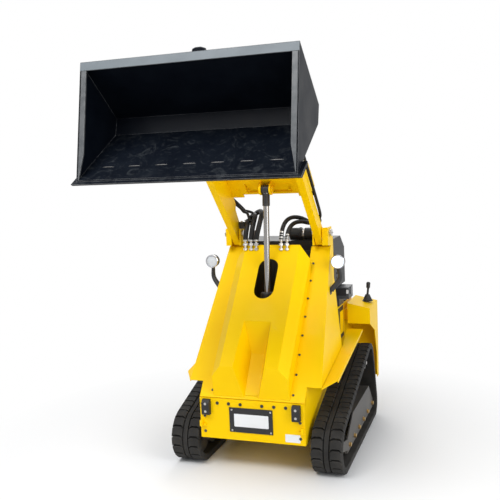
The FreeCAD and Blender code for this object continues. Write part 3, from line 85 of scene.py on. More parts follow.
class Side(int, Enum):
    """Side of the machine, seen from its operator's place, as the sign of X."""

    LEFT = 1
    RIGHT = -1


def at(x: float, y: float, z: float) -> Point:
    """Turn a place in millimetres from the front panel into the frame's metres.

    Args:
        x: to the left, from the machine's middle.
        y: rearwards, from the front panel's outer face.
        z: upwards, from the ground.

    Returns:
        The same place in the frame.
    """
    return (x * MILLIMETRE, FRONT_Y + y * MILLIMETRE, z * MILLIMETRE)


def span(node: str) -> tuple[np.ndarray, np.ndarray]:
    """Give a node's lowest and highest corners, in millimetres from the front panel.

    Args:
        node: name of a node of the frame.

    Returns:
        The lowest and the highest corner.
    """
    low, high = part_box(node)
    shift = np.array((0.0, FRONT_Y, 0.0))
    return (np.array(low) - shift) / MILLIMETRE, (np.array(high) - shift) / MILLIMETRE


SLOPE_FOOT = (0.0, 438.0)        # y and z of the sloping plate's lower and upper edge
SLOPE_HEAD = (648.0, 1238.0)
HOOD_FRONT = (-20.0, 635.0)      # y and z of the hood's front edge
HOOD_SLOPE = 49.2                # degrees
UPPER_HALF = 334.0               # half width of the upper body and of the towers
ARM_PIVOT = (630.0, 1326.0)
ARM_ANGLE = 134.84               # direction of the raised arms, degrees from +Y towards +Z
ARM_ALONG = (math.cos(math.radians(ARM_ANGLE)), math.sin(math.radians(ARM_ANGLE)))
ARM_ACROSS = (ARM_ALONG[1], -ARM_ALONG[0])
ARM_BACK = 20.7                  # from the pivot's line to the arms' rear edge
ARM_OUTER = 292.0                # from the middle to the arms' outer faces
COAT_ROUGHNESS = 0.08
GRAIN_DEPTH = 0.0006             # metres
BLOTCH_FADE = (0.35, 0.68)       # values of the noise between which the second colour comes in
WEAR_REACH = 0.003               # metres
WEAR_LEAN = (0.08, 0.5)          # lean of the softened normal where wear starts, and where it is full
WEAR_FADE = (0.25, 0.6)          # values of the noise between which wear comes in
WEAR_SHARE = 0.9
STREAK_FADE = (0.52, 0.72)       # values of the twisted noise between which a scuff comes in
SCUFF_LEVELS = (0.014, 0.008)    # metres over the bucket's floor where scuffs end, and where they are full
DUST = (0.32, 0.29, 0.25)
DUST_TOP = 0.4                   # height in metres where the dust ends
SMOOTH_UP_TO = math.radians(38)


def on_arm(a: float, b: float) -> Pair:
    """Give a place on the raised arm.

    Args:
        a: along it from its pivot.
        b: square to it, towards the rear.

    Returns:
        Its y and z.
    """
    return (ARM_PIVOT[0] + a * ARM_ALONG[0] + b * ARM_ACROSS[0],
            ARM_PIVOT[1] + a * ARM_ALONG[1] + b * ARM_ACROSS[1])


def hood_height(y: float) -> float:
    """Give the height of the hood's sloping top at a place y from the front panel."""
    return HOOD_FRONT[1] + (y - HOOD_FRONT[0]) * math.tan(math.radians(HOOD_SLOPE))


# ---------------------------------------------------------------- finishes


@dataclass(frozen=True)
class Finish:
    """A surface finish, made as one node-based material.

    Attributes:
        name: name of the material.
        colour: linear base colour.
        second: linear colour of the blotches that vary it.
        roughness: mean roughness.
        spread: how far roughness varies.
        metallic: share of metal.
        coat: weight of the clear coat.
        grain: bump patterns per metre.
        bump: depth of the bump.
        blotch: blotches per metre.
        share: how far the blotches take the second colour.
        dust: strength of the pale dust near the ground.
        edge: radius in metres of the softened edges, or nothing.
        worn: linear colour that shows along worn edges, or none.
        glow: strength of its own light.
        specular: level of the shader's gloss.
        slot: the record's material slot that it belongs to; not used.
    """

    name: str
    colour: Colour
    second: Colour
    roughness: float = 0.4
    spread: float = 0.06
    metallic: float = 0.0
    coat: float = 0.0
    grain: float = 300.0
    bump: float = 0.1
    blotch: float = 6.0
    share: float = 0.5
    dust: float = 0.0
    edge: float = 0.0
    worn: Colour | None = None
    glow: float = 0.0
    specular: float = 0.5
    slot: str = "yellow_paint"

    def material(self) -> bpy.types.Material:
        """Build the material, or give it back where it is built already.

        Returns:
            The material with its nodes.
        """
        made = bpy.data.materials.get(self.name)
        if made:
            return made
        made = bpy.data.materials.new(self.name)
        made.use_nodes = True
        tree = made.node_tree
        shader = tree.nodes["Principled BSDF"]
        shader.inputs["Metallic"].default_value = self.metallic
        shader.inputs["Coat Weight"].default_value = self.coat
        shader.inputs["Coat Roughness"].default_value = COAT_ROUGHNESS
        shader.inputs["Specular IOR Level"].default_value = self.specular
        place = tree.nodes.new("ShaderNodeTexCoord").outputs["Object"]
        patches = noise(tree, place, self.blotch, 4.0)
        fine = noise(tree, place, self.grain, 3.0)
        colour = mix(tree, ramp(tree, patches, *BLOTCH_FADE, self.share), self.colour, self.second)
        colour = self.marked(tree, place, colour)
        if self.worn:
            colour = self.rubbed(tree, colour, patches)
        if self.glow:
            shader.inputs["Emission Color"].default_value = (*self.colour, 1.0)
            shader.inputs["Emission Strength"].default_value = self.glow
        if self.dust:
            colour = self.dusted(tree, place, colour, patches)
        tree.links.new(colour, shader.inputs["Base Color"])
        rough = tree.nodes.new("ShaderNodeMapRange")
        rough.inputs["To Min"].default_value = self.roughness - self.spread
        rough.inputs["To Max"].default_value = self.roughness + self.spread
        tree.links.new(patches, rough.inputs["Value"])
        tree.links.new(rough.outputs["Result"], shader.inputs["Roughness"])
        bump = tree.nodes.new("ShaderNodeBump")
        bump.inputs["Strength"].default_value = self.bump
        bump.inputs["Distance"].default_value = GRAIN_DEPTH
        tree.links.new(fine, bump.inputs["Height"])
        if self.edge:
            tree.links.new(softened(tree, self.edge, 4), bump.inputs["Normal"])
        tree.links.new(bump.outputs["Normal"], shader.inputs["Normal"])
        return made

    def marked(self, tree: Tree, place: Socket, colour: Socket) -> Socket:
        """Leave the colour as it is; a finish with marks of its own changes it here."""
        return colour

    def rubbed(self, tree: Tree, colour: Socket, patches: Socket) -> Socket:
        """Let the worn colour show along the edges.

        The share is how far the normal, softened over 3 mm, leans away from the true one, times a noise.

        Args:
            tree: the material's nodes.
            colour: the colour away from the edges.
            patches: the noise that breaks the wear up.

        Returns:
            The colour with its worn edges.
        """
        true = tree.nodes.new("ShaderNodeNewGeometry")
        lean = tree.nodes.new("ShaderNodeVectorMath")
        lean.operation = "DISTANCE"
        tree.links.new(softened(tree, WEAR_REACH, 6), lean.inputs[0])
        tree.links.new(true.outputs["Normal"], lean.inputs[1])
        edge = ramp(tree, lean.outputs["Value"], *WEAR_LEAN, 1.0)
        amount = combine(tree, "MULTIPLY", edge, ramp(tree, patches, *WEAR_FADE, WEAR_SHARE))
        return mix(tree, amount, colour, self.worn)

    def dusted(self, tree: Tree, place: Socket, colour: Socket, patches: Socket) -> Socket:
        """Lay pale dust over a colour, thickest at the ground and gone 0.4 m above it.

        Args:
            tree: the material's nodes.
            place: the place on the object.
            colour: the colour under the dust.
            patches: the noise that breaks the dust up.

        Returns:
            The dusted colour.
        """
        parts = tree.nodes.new("ShaderNodeSeparateXYZ")
        tree.links.new(place, parts.inputs["Vector"])
        low = ramp(tree, parts.outputs["Z"], DUST_TOP, 0.0, self.dust)
        return mix(tree, combine(tree, "MULTIPLY", low, patches), colour, DUST)


@dataclass(frozen=True)
class ScuffedFinish(Finish):
    """A finish with scuffs on the bucket's floor.

    Attributes:
        scuff: linear colour of the scuffs.
        rear: y and z of the floor's rear edge.
        front: y and z of its front edge.
    """

    scuff: Colour = (0.028, 0.032, 0.036)
    rear: Pair = (-391.0, 1938.0)
    front: Pair = (-776.0, 1717.0)

    def marked(self, tree: Tree, place: Socket, colour: Socket) -> Socket:
        """Scuff what lies close to the bucket's floor, in curling streaks.

        The height above the floor is the place's dot product with the floor's normal, less the same for
        its rear edge.

        Args:
            tree: the material's nodes.
            place: the place on the object.
            colour: the colour under the scuffs.

        Returns:
            The scuffed colour.
        """
        ahead = Vector((0.0, self.front[0] - self.rear[0], self.front[1] - self.rear[1])).normalized()
        up = ahead.cross(Vector(LEFTWARDS))
        dot = tree.nodes.new("ShaderNodeVectorMath")
        dot.operation = "DOT_PRODUCT"
        dot.inputs[1].default_value = up
        tree.links.new(place, dot.inputs[0])
        level = up.dot(Vector(at(0.0, *self.rear)))
        end, full = SCUFF_LEVELS
        near = ramp(tree, dot.outputs["Value"], level + end, level + full, 1.0)
        streaks = noise(tree, place, scale=11.0, detail=9.0, rough=0.72, curl=2.4)
        amount = combine(tree, "MULTIPLY", near, ramp(tree, streaks, *STREAK_FADE, 1.0))
        return mix(tree, amount, colour, self.scuff)


def noise(tree: Tree, place: Socket, scale: float, detail: float, rough: float = 0.5,
          curl: float = 0.0) -> Socket:
    """Add a noise texture.

    Args:
        tree: the material's nodes.
        place: the coordinates it reads.
        scale: patterns per metre.
        detail: octaves.
        rough: weight of each octave against the one before.
        curl: how far the pattern is twisted.

    Returns:
        Its value.
    """
    texture = tree.nodes.new("ShaderNodeTexNoise")
    for socket, value in (("Scale", scale), ("Detail", detail), ("Roughness", rough), ("Distortion", curl)):
        texture.inputs[socket].default_value = value
    tree.links.new(place, texture.inputs["Vector"])
    return texture.outputs["Fac"]


def softened(tree: Tree, radius: float, samples: int) -> Socket:
    """Round the edges of the surface's normal off.

    Args:
        tree: the material's nodes.
        radius: radius of the edges, in metres.
        samples: rays that it takes.

    Returns:
        The softened normal.
    """
    node = tree.nodes.new("ShaderNodeBevel")
    node.samples = samples
    node.inputs["Radius"].default_value = radius
    return node.outputs["Normal"]


def combine(tree: Tree, kind: str, first: Socket, second: Socket) -> Socket:
    """Combine two values.

    Args:
        tree: the material's nodes.
        kind: operation of the Math node.
        first: the first value.
        second: the second value.

    Returns:
        The combined value.
    """
    node = tree.nodes.new("ShaderNodeMath")
    node.operation = kind
    tree.links.new(first, node.inputs[0])
    tree.links.new(second, node.inputs[1])
    return node.outputs["Value"]


def ramp(tree: Tree, value: Socket, low: float, high: float, top: float) -> Socket:
    """Stretch a value so that low gives 0 and high gives top, clamped.

    Args:
        tree: the material's nodes.
        value: the value.
        low: where it starts.
        high: where it ends.
        top: what it reaches.

    Returns:
        The stretched value.
    """
    node = tree.nodes.new("ShaderNodeMapRange")
    node.inputs["From Min"].default_value = low
    node.inputs["From Max"].default_value = high
    node.inputs["To Max"].default_value = top
    tree.links.new(value, node.inputs["Value"])
    return node.outputs["Result"]


def mix(tree: Tree, share: Socket, first: Socket | Colour, second: Socket | Colour) -> Socket:
    """Mix two colours, each a socket or three numbers.

    Args:
        tree: the material's nodes.
        share: share of the second colour.
        first: the first colour.
        second: the second colour.

    Returns:
        The mixed colour.
    """
    node = tree.nodes.new("ShaderNodeMix")
    node.data_type = "RGBA"
    tree.links.new(share, node.inputs[0])
    for socket, colour in ((node.inputs[6], first), (node.inputs[7], second)):
        if isinstance(colour, Socket):
            tree.links.new(colour, socket)
        else:
            socket.default_value = (*colour, 1.0)
    return node.outputs[2]


YELLOW = Finish("yellow powder coat", (0.96, 0.62, 0.001), (0.93, 0.56, 0.001), roughness=0.36, coat=0.02,
                specular=0.07, grain=900.0, bump=0.05, blotch=3.5, share=0.6, edge=0.0015)
BUCKET_PAINT = ScuffedFinish("black bucket paint", (0.0022, 0.0034, 0.0065), (0.004, 0.006, 0.010),
                             roughness=0.42, spread=0.1, specular=0.08, grain=500.0, bump=0.12, blotch=9.0,
                             share=0.8, edge=0.0012, worn=(0.16, 0.165, 0.17), slot="bucket_steel")
BUCKET_EDGE_PAINT = Finish("rubbed black edge paint", (0.05, 0.055, 0.06), (0.09, 0.095, 0.10),
                           roughness=0.38, spread=0.1, grain=500.0, bump=0.12, blotch=30.0, share=0.8,
                           edge=0.0012, worn=(0.2, 0.2, 0.2), slot="bucket_steel")
# pale grey-blue colour of the strip along the bucket's lip
LIP_PAINT = Finish("pale grey-blue lip paint", (0.135, 0.155, 0.170), (0.10, 0.118, 0.13), roughness=0.4,
                   spread=0.1, specular=0.3, grain=500.0, bump=0.12, blotch=6.0, share=0.8,
                   slot="bucket_steel")
WELD = Finish("weld bead", (0.05, 0.05, 0.05), (0.12, 0.115, 0.11), roughness=0.5, metallic=0.3, grain=400.0,
              bump=0.6, blotch=120.0, share=0.8, slot="bucket_steel")
BLACK_STEEL = Finish("black painted steel", (0.012, 0.012, 0.013), (0.022, 0.021, 0.020), roughness=0.5,
                     grain=500.0, bump=0.1, share=0.6, dust=0.5, edge=0.001, worn=(0.07, 0.065, 0.06),
                     slot="black_paint")
TRACK_RUBBER = Finish("track rubber", (0.013, 0.0125, 0.012), (0.026, 0.025, 0.024), roughness=0.7,
                      specular=0.2, grain=240.0, bump=0.5, blotch=14.0, share=0.8, dust=0.1,
                      worn=(0.07, 0.068, 0.065), slot="track_rubber")
PLASTIC = Finish("black moulded plastic", (0.013, 0.013, 0.014), (0.019, 0.019, 0.02), roughness=0.55,
                 grain=1500.0, bump=0.25, edge=0.001, slot="black_plastic")
RUBBER = Finish("smooth black rubber", (0.010, 0.010, 0.010), (0.016, 0.016, 0.016), roughness=0.62,
                grain=900.0, bump=0.2, edge=0.001, slot="pad_rubber")
HOSE = Finish("hose cover", (0.0045, 0.0045, 0.0049), (0.0077, 0.0077, 0.0081), roughness=0.5, specular=0.3,
              grain=1400.0, bump=0.35, slot="hose_rubber")
GREY = Finish("grey box paint", (0.055, 0.06, 0.065), (0.07, 0.075, 0.08), roughness=0.4, grain=700.0,
              edge=0.001, slot="grey_paint")
CHROME = Finish("ground cylinder rod", (0.30, 0.29, 0.28), (0.24, 0.235, 0.23), roughness=0.24, spread=0.05,
                metallic=1.0, grain=1200.0, bump=0.04, slot="chrome_rod")
ZINC = Finish("zinc plate", (0.55, 0.54, 0.52), (0.42, 0.40, 0.37), roughness=0.33, metallic=1.0, grain=700.0,
              bump=0.15, blotch=60.0, slot="pin_steel")
GOLD_ZINC = Finish("yellow zinc plate", (0.62, 0.42, 0.16), (0.5, 0.33, 0.14), roughness=0.35, metallic=1.0,
                   grain=700.0, bump=0.15, blotch=60.0, slot="pin_steel")
ENGINE = Finish("engine casting", (0.03, 0.03, 0.032), (0.05, 0.048, 0.045), roughness=0.6, metallic=0.3,
                grain=300.0, bump=0.4, slot="engine_metal")
CAST_IRON = Finish("hot pipe steel", (0.05, 0.04, 0.035), (0.12, 0.07, 0.045), roughness=0.65, metallic=0.5,
                   grain=300.0, bump=0.4, blotch=25.0, slot="engine_metal")
GLOSS_BLACK = Finish("gloss black plate", (0.008, 0.008, 0.009), (0.011, 0.011, 0.012), roughness=0.22,
                     spread=0.04, grain=900.0, bump=0.05, edge=0.001, slot="sign_black")
LABEL = Finish("blank white label", (0.80, 0.81, 0.82), (0.74, 0.75, 0.76), roughness=0.45, grain=800.0,
               bump=0.04, slot="sign_black")
LAMP_RIM = Finish("bright lamp rim", (0.6, 0.6, 0.62), (0.5, 0.5, 0.52), roughness=0.2, metallic=1.0,
                  grain=900.0, bump=0.03, slot="pin_steel")
LAMP_LENS = Finish("frosted lamp lens", (0.62, 0.65, 0.68), (0.5, 0.53, 0.56), roughness=0.15, coat=1.0,
                   grain=260.0, bump=0.5, blotch=90.0, slot="black_plastic")
LAMP_LIT = Finish("lit lamp lens", (0.72, 0.82, 1.0), (0.9, 0.95, 1.0), roughness=0.15, coat=1.0, grain=260.0,
                  bump=0.3, blotch=90.0, glow=1.6, slot="black_plastic")

SHARED_FINISHES = {
    GLOSS_BLACK: "sign_plate",
    RUBBER: "stop_pads",
    ENGINE: "engine_block",
    PLASTIC: "engine_shroud control_console control_levers work_lights",
    GREY: "battery_box",
    BLACK_STEEL: "operator_step lift_tube tilt_tube idlers_left idlers_right rollers_left rollers_right "
                 "sprocket_left sprocket_right track_frame_left track_frame_right hose_clamps",
    CHROME: "lift_rod tilt_rod",
    ZINC: "pivot_pins hinge_pins",
    BUCKET_PAINT: "bucket cutting_edge bucket_carrier",
    TRACK_RUBBER: "track_left track_right",
}
NODE_FINISHES = {node: finish for finish, nodes in SHARED_FINISHES.items() for node in nodes.split()}


def dress_frame() -> None:
    """Give every node of the frame its finish; what isn't listed is yellow."""
    for name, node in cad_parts.items():
        paint(node, NODE_FINISHES.get(name, YELLOW))
        log.info("%s is finished in %s", name, NODE_FINISHES.get(name, YELLOW).name)


def paint(piece: bpy.types.Object, finish: Finish) -> None:
    """Give a piece one finish.

    Args:
        piece: the piece.
        finish: its finish.
    """
    piece.data.materials.clear()
    piece.data.materials.append(finish.material())


# ---------------------------------------------------------------- surfaces


def basis(axis: Point) -> np.ndarray:
    """Give three square unit vectors, the last one along an axis.

    Args:
        axis: the axis, of any length.

    Returns:
        Three rows: two across the axis, then the axis.
    """
    ahead = np.array(axis, float) / np.linalg.norm(axis)
    helper = np.array(LEFTWARDS if abs(ahead[0]) < 0.9 else BACKWARDS)
    across = np.cross(helper, ahead)
    across /= np.linalg.norm(across)
    return np.array((np.cross(across, ahead), across, ahead))


def turned(profile: list[Pair], start: Point, axis: Point, sides: int = 32, flats: int = 0) -> np.ndarray:
    """Turn a profile round an axis.

    A point is start + distance along the axis + radius across it at its angle. With flats the
    radius is divided by the cosine of the angle from the nearest flat's middle.

    Args:
        profile: radius and distance along the axis of each row.
        start: where distances count from.
        axis: direction of the axis.
        sides: points in a row.
        flats: number of flats, or none for a round piece.

    Returns:
        Rows of points.
    """
    angle = np.arange(sides) * 2 * math.pi / sides
    swell = np.ones(sides)
    if flats:
        half = math.pi / flats
        swell = 1 / np.cos((angle + half) % (2 * half) - half)
    radius, distance = np.array(profile, float).T
    first, second, ahead = basis(axis)
    ring = np.cos(angle)[:, None] * first + np.sin(angle)[:, None] * second
    return np.array(start) + distance[:, None, None] * ahead + (radius[:, None] * swell)[..., None] * ring


def curve(points: list[Point], count: int = 60) -> np.ndarray:
    """Carry a smooth curve along control points.

    The curve is a uniform cubic B-spline with one point added before and after the others, so that it
    starts and ends on the first and the last one.

    Args:
        points: the control points.
        count: points wanted on the curve.

    Returns:
        The curve's points, one a row.
    """
    control = np.array(points, float)
    control = np.vstack((2 * control[0] - control[1], control, 2 * control[-1] - control[-2]))
    place = np.linspace(0, len(control) - 3, count)
    first = np.minimum(place.astype(int), len(control) - 4)
    t = (place - first)[:, None]
    weights = np.hstack(((1 - t) ** 3, 3 * t**3 - 6 * t**2 + 4, -3 * t**3 + 3 * t**2 + 3 * t + 1, t**3)) / 6
    return (weights[..., None] * control[first[:, None] + np.arange(4)]).sum(axis=1)


def tube(path: np.ndarray, radius: float | np.ndarray, sides: int = 20,
         helper: Point = (0.31, 0.17, 0.93)) -> np.ndarray:
    """Carry a circle along a path.

    Each ring stands across the path's direction there; its first point is turned towards helper.

    Args:
        path: the path's points.
        radius: one radius, or one for each point.
        sides: points in a ring.
        helper: a direction that the path never takes.

    Returns:
        Rings of points.
    """
    ahead = np.gradient(path, axis=0)
    ahead /= np.linalg.norm(ahead, axis=1)[:, None]
    first = np.cross(ahead, np.array(helper))
    first /= np.linalg.norm(first, axis=1)[:, None]
    second = np.cross(ahead, first)
    angle = np.arange(sides) * 2 * math.pi / sides
    reach = np.broadcast_to(np.asarray(radius, float), (len(path),))[:, None, None]
    ring = np.cos(angle)[None, :, None] * first[:, None] + np.sin(angle)[None, :, None] * second[:, None]
    return path[:, None] + reach * ring


def inset(outline: np.ndarray, distance: float) -> np.ndarray:
    """Move the corners of an outline inwards.

    Each corner moves along the sum of its two edges' inward normals, over one plus their dot product.

    Args:
        outline: corners of a closed outline, anticlockwise.
        distance: how far its edges move.

    Returns:
        The moved corners.
    """
    ahead = np.roll(outline, -1, axis=0) - outline
    ahead /= np.linalg.norm(ahead, axis=1)[:, None]
    inward = np.stack((-ahead[:, 1], ahead[:, 0]), axis=1)
    before = np.roll(inward, 1, axis=0)
    return outline + distance * (inward + before) / (1 + (inward * before).sum(axis=1))[:, None]


def slab(outline: list[Pair] | np.ndarray, origin: Point, across: Point, up: Point, thick: float,
         bevel: float = 1.0) -> np.ndarray:
    """Give a flat outline a thickness, with bevelled edges.

    The four rows are the outline moved in by the bevel, the outline a bevel higher, the outline a
    bevel under the top, and the outline moved in at the top.

    Args:
        outline: corners in the plane, anticlockwise seen from the top.
        origin: where the plane's coordinates count from.
        across: direction of the first coordinate.
        up: direction of the second coordinate.
        thick: thickness, along across x up.
        bevel: width of the bevels.

    Returns:
        Four rows of points.
    """
    corners = np.array(outline, float)
    small = inset(corners, bevel)
    first, second = (np.array(v, float) / np.linalg.norm(v) for v in (across, up))
    out = np.cross(first, second)
    flat = np.stack((small, corners, corners, small))
    height = np.array((0.0, bevel, thick - bevel, thick))
    return np.array(origin) + flat[..., :1] * first + flat[..., 1:] * second + height[:, None, None] * out


def rectangle(width: float, height: float, round_by: float = 0.0, steps: int = 5) -> np.ndarray:
    """Give a rectangle about its middle, with its corners rounded.

    Corner k is centred in from the rectangle's corner by the radius, and its points turn from k to
    k + 1 quarter turns.

    Args:
        width: its width.
        height: its height.
        round_by: radius of its corners.
        steps: points on a rounded corner.

    Returns:
        Its corners, anticlockwise.
    """
    signs = np.array(((1, 1), (-1, 1), (-1, -1), (1, -1)), float)
    centres = signs * (np.array((width, height)) / 2 - round_by)
    if not round_by:
        return centres
    angle = (np.arange(4)[:, None] + np.linspace(0, 1, steps)[None]) * math.pi / 2
    arc = np.stack((np.cos(angle), np.sin(angle)), axis=-1) * round_by
    return (centres[:, None] + arc).reshape(-1, 2)


@dataclass
class Shape:
    """The surfaces of one piece, in millimetres from the front panel.

    Attributes:
        name: name of the piece.
        points: points of each surface.
        faces: corner numbers of every face.
        total: points so far.
    """

    name: str
    points: list[np.ndarray] = field(default_factory=list)
    faces: list[list[int]] = field(default_factory=list)
    total: int = 0

    def add(self, rows: np.ndarray, loop: bool = False, capped: bool = True, mirrored: bool = False) -> Shape:
        """Add a surface whose rows are closed rings.

        A face joins points k and k + 1 of a row to those of the next row.

        Args:
            rows: points as rows x ring x 3.
            loop: whether the last row joins the first.
            capped: whether the first and last row are closed by a face, where they don't join.
            mirrored: whether to add the same on the other side of the machine.

        Returns:
            This shape.
        """
        count, ring = rows.shape[:2]
        row = np.arange(count if loop else count - 1)[:, None]
        column = np.arange(ring)[None]
        after_row, after = (row + 1) % count, (column + 1) % ring
        corners = (row * ring + column, row * ring + after,
                   after_row * ring + after, after_row * ring + column)
        quads = np.stack([np.broadcast_to(c, (len(row), ring)) for c in corners], axis=-1).reshape(-1, 4)
        self.faces += (quads + self.total).tolist()
        if capped and not loop:
            self.faces.append((np.arange(ring)[::-1] + self.total).tolist())
            self.faces.append((np.arange(ring) + self.total + (count - 1) * ring).tolist())
        self.points.append(rows.reshape(-1, 3))
        self.total += count * ring
        if mirrored:
            self.add(rows * np.array((-1.0, 1.0, 1.0)), loop, capped)
        return self

    def bolts(self, spots: list[Point], axis: Point, across: float = 17.0, mirrored: bool = False) -> Shape:
        """Add hexagon bolts with washers.

        A head is a turned profile with six flats; its washer is round.

        Args:
            spots: middles of the washers' undersides.
            axis: the way the heads point.
            across: width of a head across its flats.
            mirrored: whether to add the same on the other side of the machine.

        Returns:
            This shape.
        """
        half = across / 2
        washer = [(half * 1.25, 0), (half * 1.3, 0.6), (half * 1.3, 1.6), (half * 1.22, 2.2)]
        head = [(half * 0.98, 2.0), (half, 2.6), (half, across * 0.42), (half * 0.86, across * 0.48)]
        for spot in spots:
            self.add(turned(washer, spot, axis, 18), mirrored=mirrored)
            self.add(turned(head, spot, axis, 18, flats=6), mirrored=mirrored)
        return self

    def piece(self, body: Body | None, finish: Finish, *replaced: str) -> bpy.types.Object:
        """Make the mesh, in metres, and hang it on a body.

        Args:
            body: the body it rides on, or none to leave it on no body.
            finish: its finish.
            replaced: nodes of the frame that it stands for.

        Returns:
            The new object.
        """
        mesh = bpy.data.meshes.new(self.name)
        mesh.from_pydata((np.vstack(self.points) * MILLIMETRE + (0.0, FRONT_Y, 0.0)).tolist(), [], self.faces)
        clean = bmesh.new()
        clean.from_mesh(mesh)
        bmesh.ops.remove_doubles(clean, verts=clean.verts, dist=1e-6)
        bmesh.ops.recalc_face_normals(clean, faces=clean.faces)
        clean.to_mesh(mesh)
        clean.free()
        mesh.shade_smooth()
        mesh.set_sharp_from_angle(angle=SMOOTH_UP_TO)
        made = bpy.data.objects.new(self.name, mesh)
        bpy.context.collection.objects.link(made)
        paint(made, finish)
        if body is not None:
            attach(made, body.value)
        if replaced:
            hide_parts(*replaced)
        log.info("%s rides on %s, in %s", self.name, body.value if body else "two bodies", finish.name)
        return made


# ---------------------------------------------------------------- tracks


@dataclass
class Track:
    """Rubber track: a belt round the idler, the tail wheel and the sprocket, with two rows of wavy lugs.

    Attributes:
        side: which side of the machine.
        wheels: y, z and radius to the lugs' tips of each wheel.
        inner: the belt's inner edge.
        width: the belt's width.
        links: number of links.
        tread: height of the lugs.
        band: thickness of the belt.
        pitch_line: from the lugs' tips to the line along which the links are spaced.
        rib: distance across and depth of each corner of the plain rib between the lugs.
        lug_near: from the belt's middle to a lug's inner end.
        lug_edges: from a lug's middle line to its front and its back edge, along the belt.
        arch: offset, first wave and third wave of the lugs' arch.
    """

    side: Side
    wheels: tuple[Point, ...] = ((157.0, 155.0, 155.0), (1083.0, 100.0, 100.0), (948.0, 418.0, 133.0))
    inner: float = 335.0
    width: float = 180.0
    links: int = 38
    tread: float = 20.0
    band: float = 18.0
    pitch_line: float = 32.0
    rib: tuple[Pair, ...] = ((-12.0, 3.0), (12.0, 3.0), (14.0, 12.0), (14.0, 21.0),
                             (-14.0, 21.0), (-14.0, 12.0))
    lug_near: float = 17.0
    lug_edges: Pair = (19.0, -23.0)
    arch: Point = (8.0, 13.0, 3.0)

    def build(self) -> None:
        """Make the belt and its lugs as one piece in place of the frame's track."""
        word = self.side.name.lower()
        shape = Shape(f"tread_{word}").add(self.belt(), loop=True)
        for middle in self.link_places():
            for row in (-1, 1):
                shape.add(self.lug(middle, row))
        shape.add(self.ring(np.array(self.rib)), loop=True)
        shape.piece(Body.CHASSIS, TRACK_RUBBER, f"track_{word}")

    def line(self) -> tuple[np.ndarray, np.ndarray, np.ndarray]:
        """Work out the line at the lugs' tips, its outward directions and its length so far.

        In each direction the line passes the wheel whose rim reaches furthest, so the directions alone
        give arcs, and the steps from wheel to wheel are the straight runs.

        Returns:
            Points, outward directions and lengths along the pitch line.
        """
        angle = np.linspace(-math.pi / 2, 1.5 * math.pi, 2881)
        out = np.stack((np.cos(angle), np.sin(angle)), axis=1)
        wheels = np.array(self.wheels)
        reach = out @ wheels[:, :2].T + wheels[:, 2]
        best = reach.argmax(axis=1)
        tips = wheels[best, :2] + wheels[best, 2:] * out
        pitch = tips - out * self.pitch_line
        length = np.concatenate(((0.0,), np.linalg.norm(np.diff(pitch, axis=0), axis=1).cumsum()))
        return tips, out, length

    def place(self, length: np.ndarray, depth: np.ndarray, across: np.ndarray) -> np.ndarray:
        """Turn places on the flat belt into places on the machine.

        Args:
            length: lengths along the pitch line.
            depth: depths below the lugs' tips.
            across: distances outwards from the belt's middle.

        Returns:
            Their places.
        """
        tips, out, so_far = self.line()
        where = np.mod(length, so_far[-1])
        tip = np.stack([np.interp(where, so_far, tips[:, k]) for k in (0, 1)], axis=-1)
        way = np.stack([np.interp(where, so_far, out[:, k]) for k in (0, 1)], axis=-1)
        flat = tip - way * depth[..., None]
        x = self.side.value * (self.inner + self.width / 2 + across)
        above = np.maximum(flat[..., 1], 0.0)
        return np.stack((np.broadcast_to(x, where.shape), flat[..., 0], above), axis=-1)

    def link_places(self) -> np.ndarray:
        """Give the length along the pitch line at each link's middle."""
        total = self.line()[2][-1]
        return np.arange(self.links) * total / self.links

    def ring(self, section: np.ndarray) -> np.ndarray:
        """Carry a section round the whole belt.

        Args:
            section: distances across and depths of the section's corners.

        Returns:
            One ring of points for each of many places along the belt.
        """
        total = self.line()[2][-1]
        stations = np.linspace(0, total, self.links * 8 + 1)[:-1, None]
        grid, across, depth = np.broadcast_arrays(stations, section[:, 0], section[:, 1])
        return self.place(grid, depth, across)

    def belt(self) -> np.ndarray:
        """Carry the belt's section round the wheels; its outer corners are rounded.

        Returns:
            Rings of points.
        """
        half = self.width / 2
        top, low = self.tread, self.tread + self.band
        section = np.array(((-half + 5, top), (half - 5, top), (half - 1.5, top + 1.5), (half, top + 5),
                            (half, low - 3), (half - 3, low), (-half + 3, low), (-half, low - 3),
                            (-half, top + 5), (-half + 1.5, top + 1.5)))
        return self.ring(section)

    def lug(self, middle: float, row: int) -> np.ndarray:
        """Shape one lug: an arched front edge and back edge, drawn in towards a top with a soft rim.

        Along the belt an edge lies at its own distance from the lug's middle line, plus an offset, less
        half a sine wave and its third harmonic, which leave the lug's ends ahead of its middle. Each
        higher row is drawn in towards the lug's centre.

        Args:
            middle: length along the belt at its middle.
            row: 1 for the outer row, -1 for the inner one.

        Returns:
            Rows of points from its root to its top.
        """
        near, far = self.lug_near, self.width / 2
        share = np.linspace(0, 1, 9)
        lead, first, third = self.arch
        wave = lead - first * np.sin(share * math.pi) - third * np.sin(3 * share * math.pi)
        front = np.stack((near + (far - near) * share, self.lug_edges[0] + wave), axis=1)
        back = np.stack((near + (far - near) * share, self.lug_edges[1] + 0.9 * wave), axis=1)[::-1]
        outline = np.vstack((front, back))
        centre = outline.mean(axis=0)
        draws = np.array((1.05, 1.0, 0.94, 0.86, 0.60))
        depths = np.array((self.tread + 3, self.tread - 3, 3.0, 0.2, 0.9))
        rows = centre + draws[:, None, None] * (outline - centre)
        rows[:, :, 0] = np.clip(rows[:, :, 0], near - 3, far)
        length = middle + rows[..., 1]
        return self.place(length, np.broadcast_to(depths[:, None], length.shape), row * rows[..., 0])


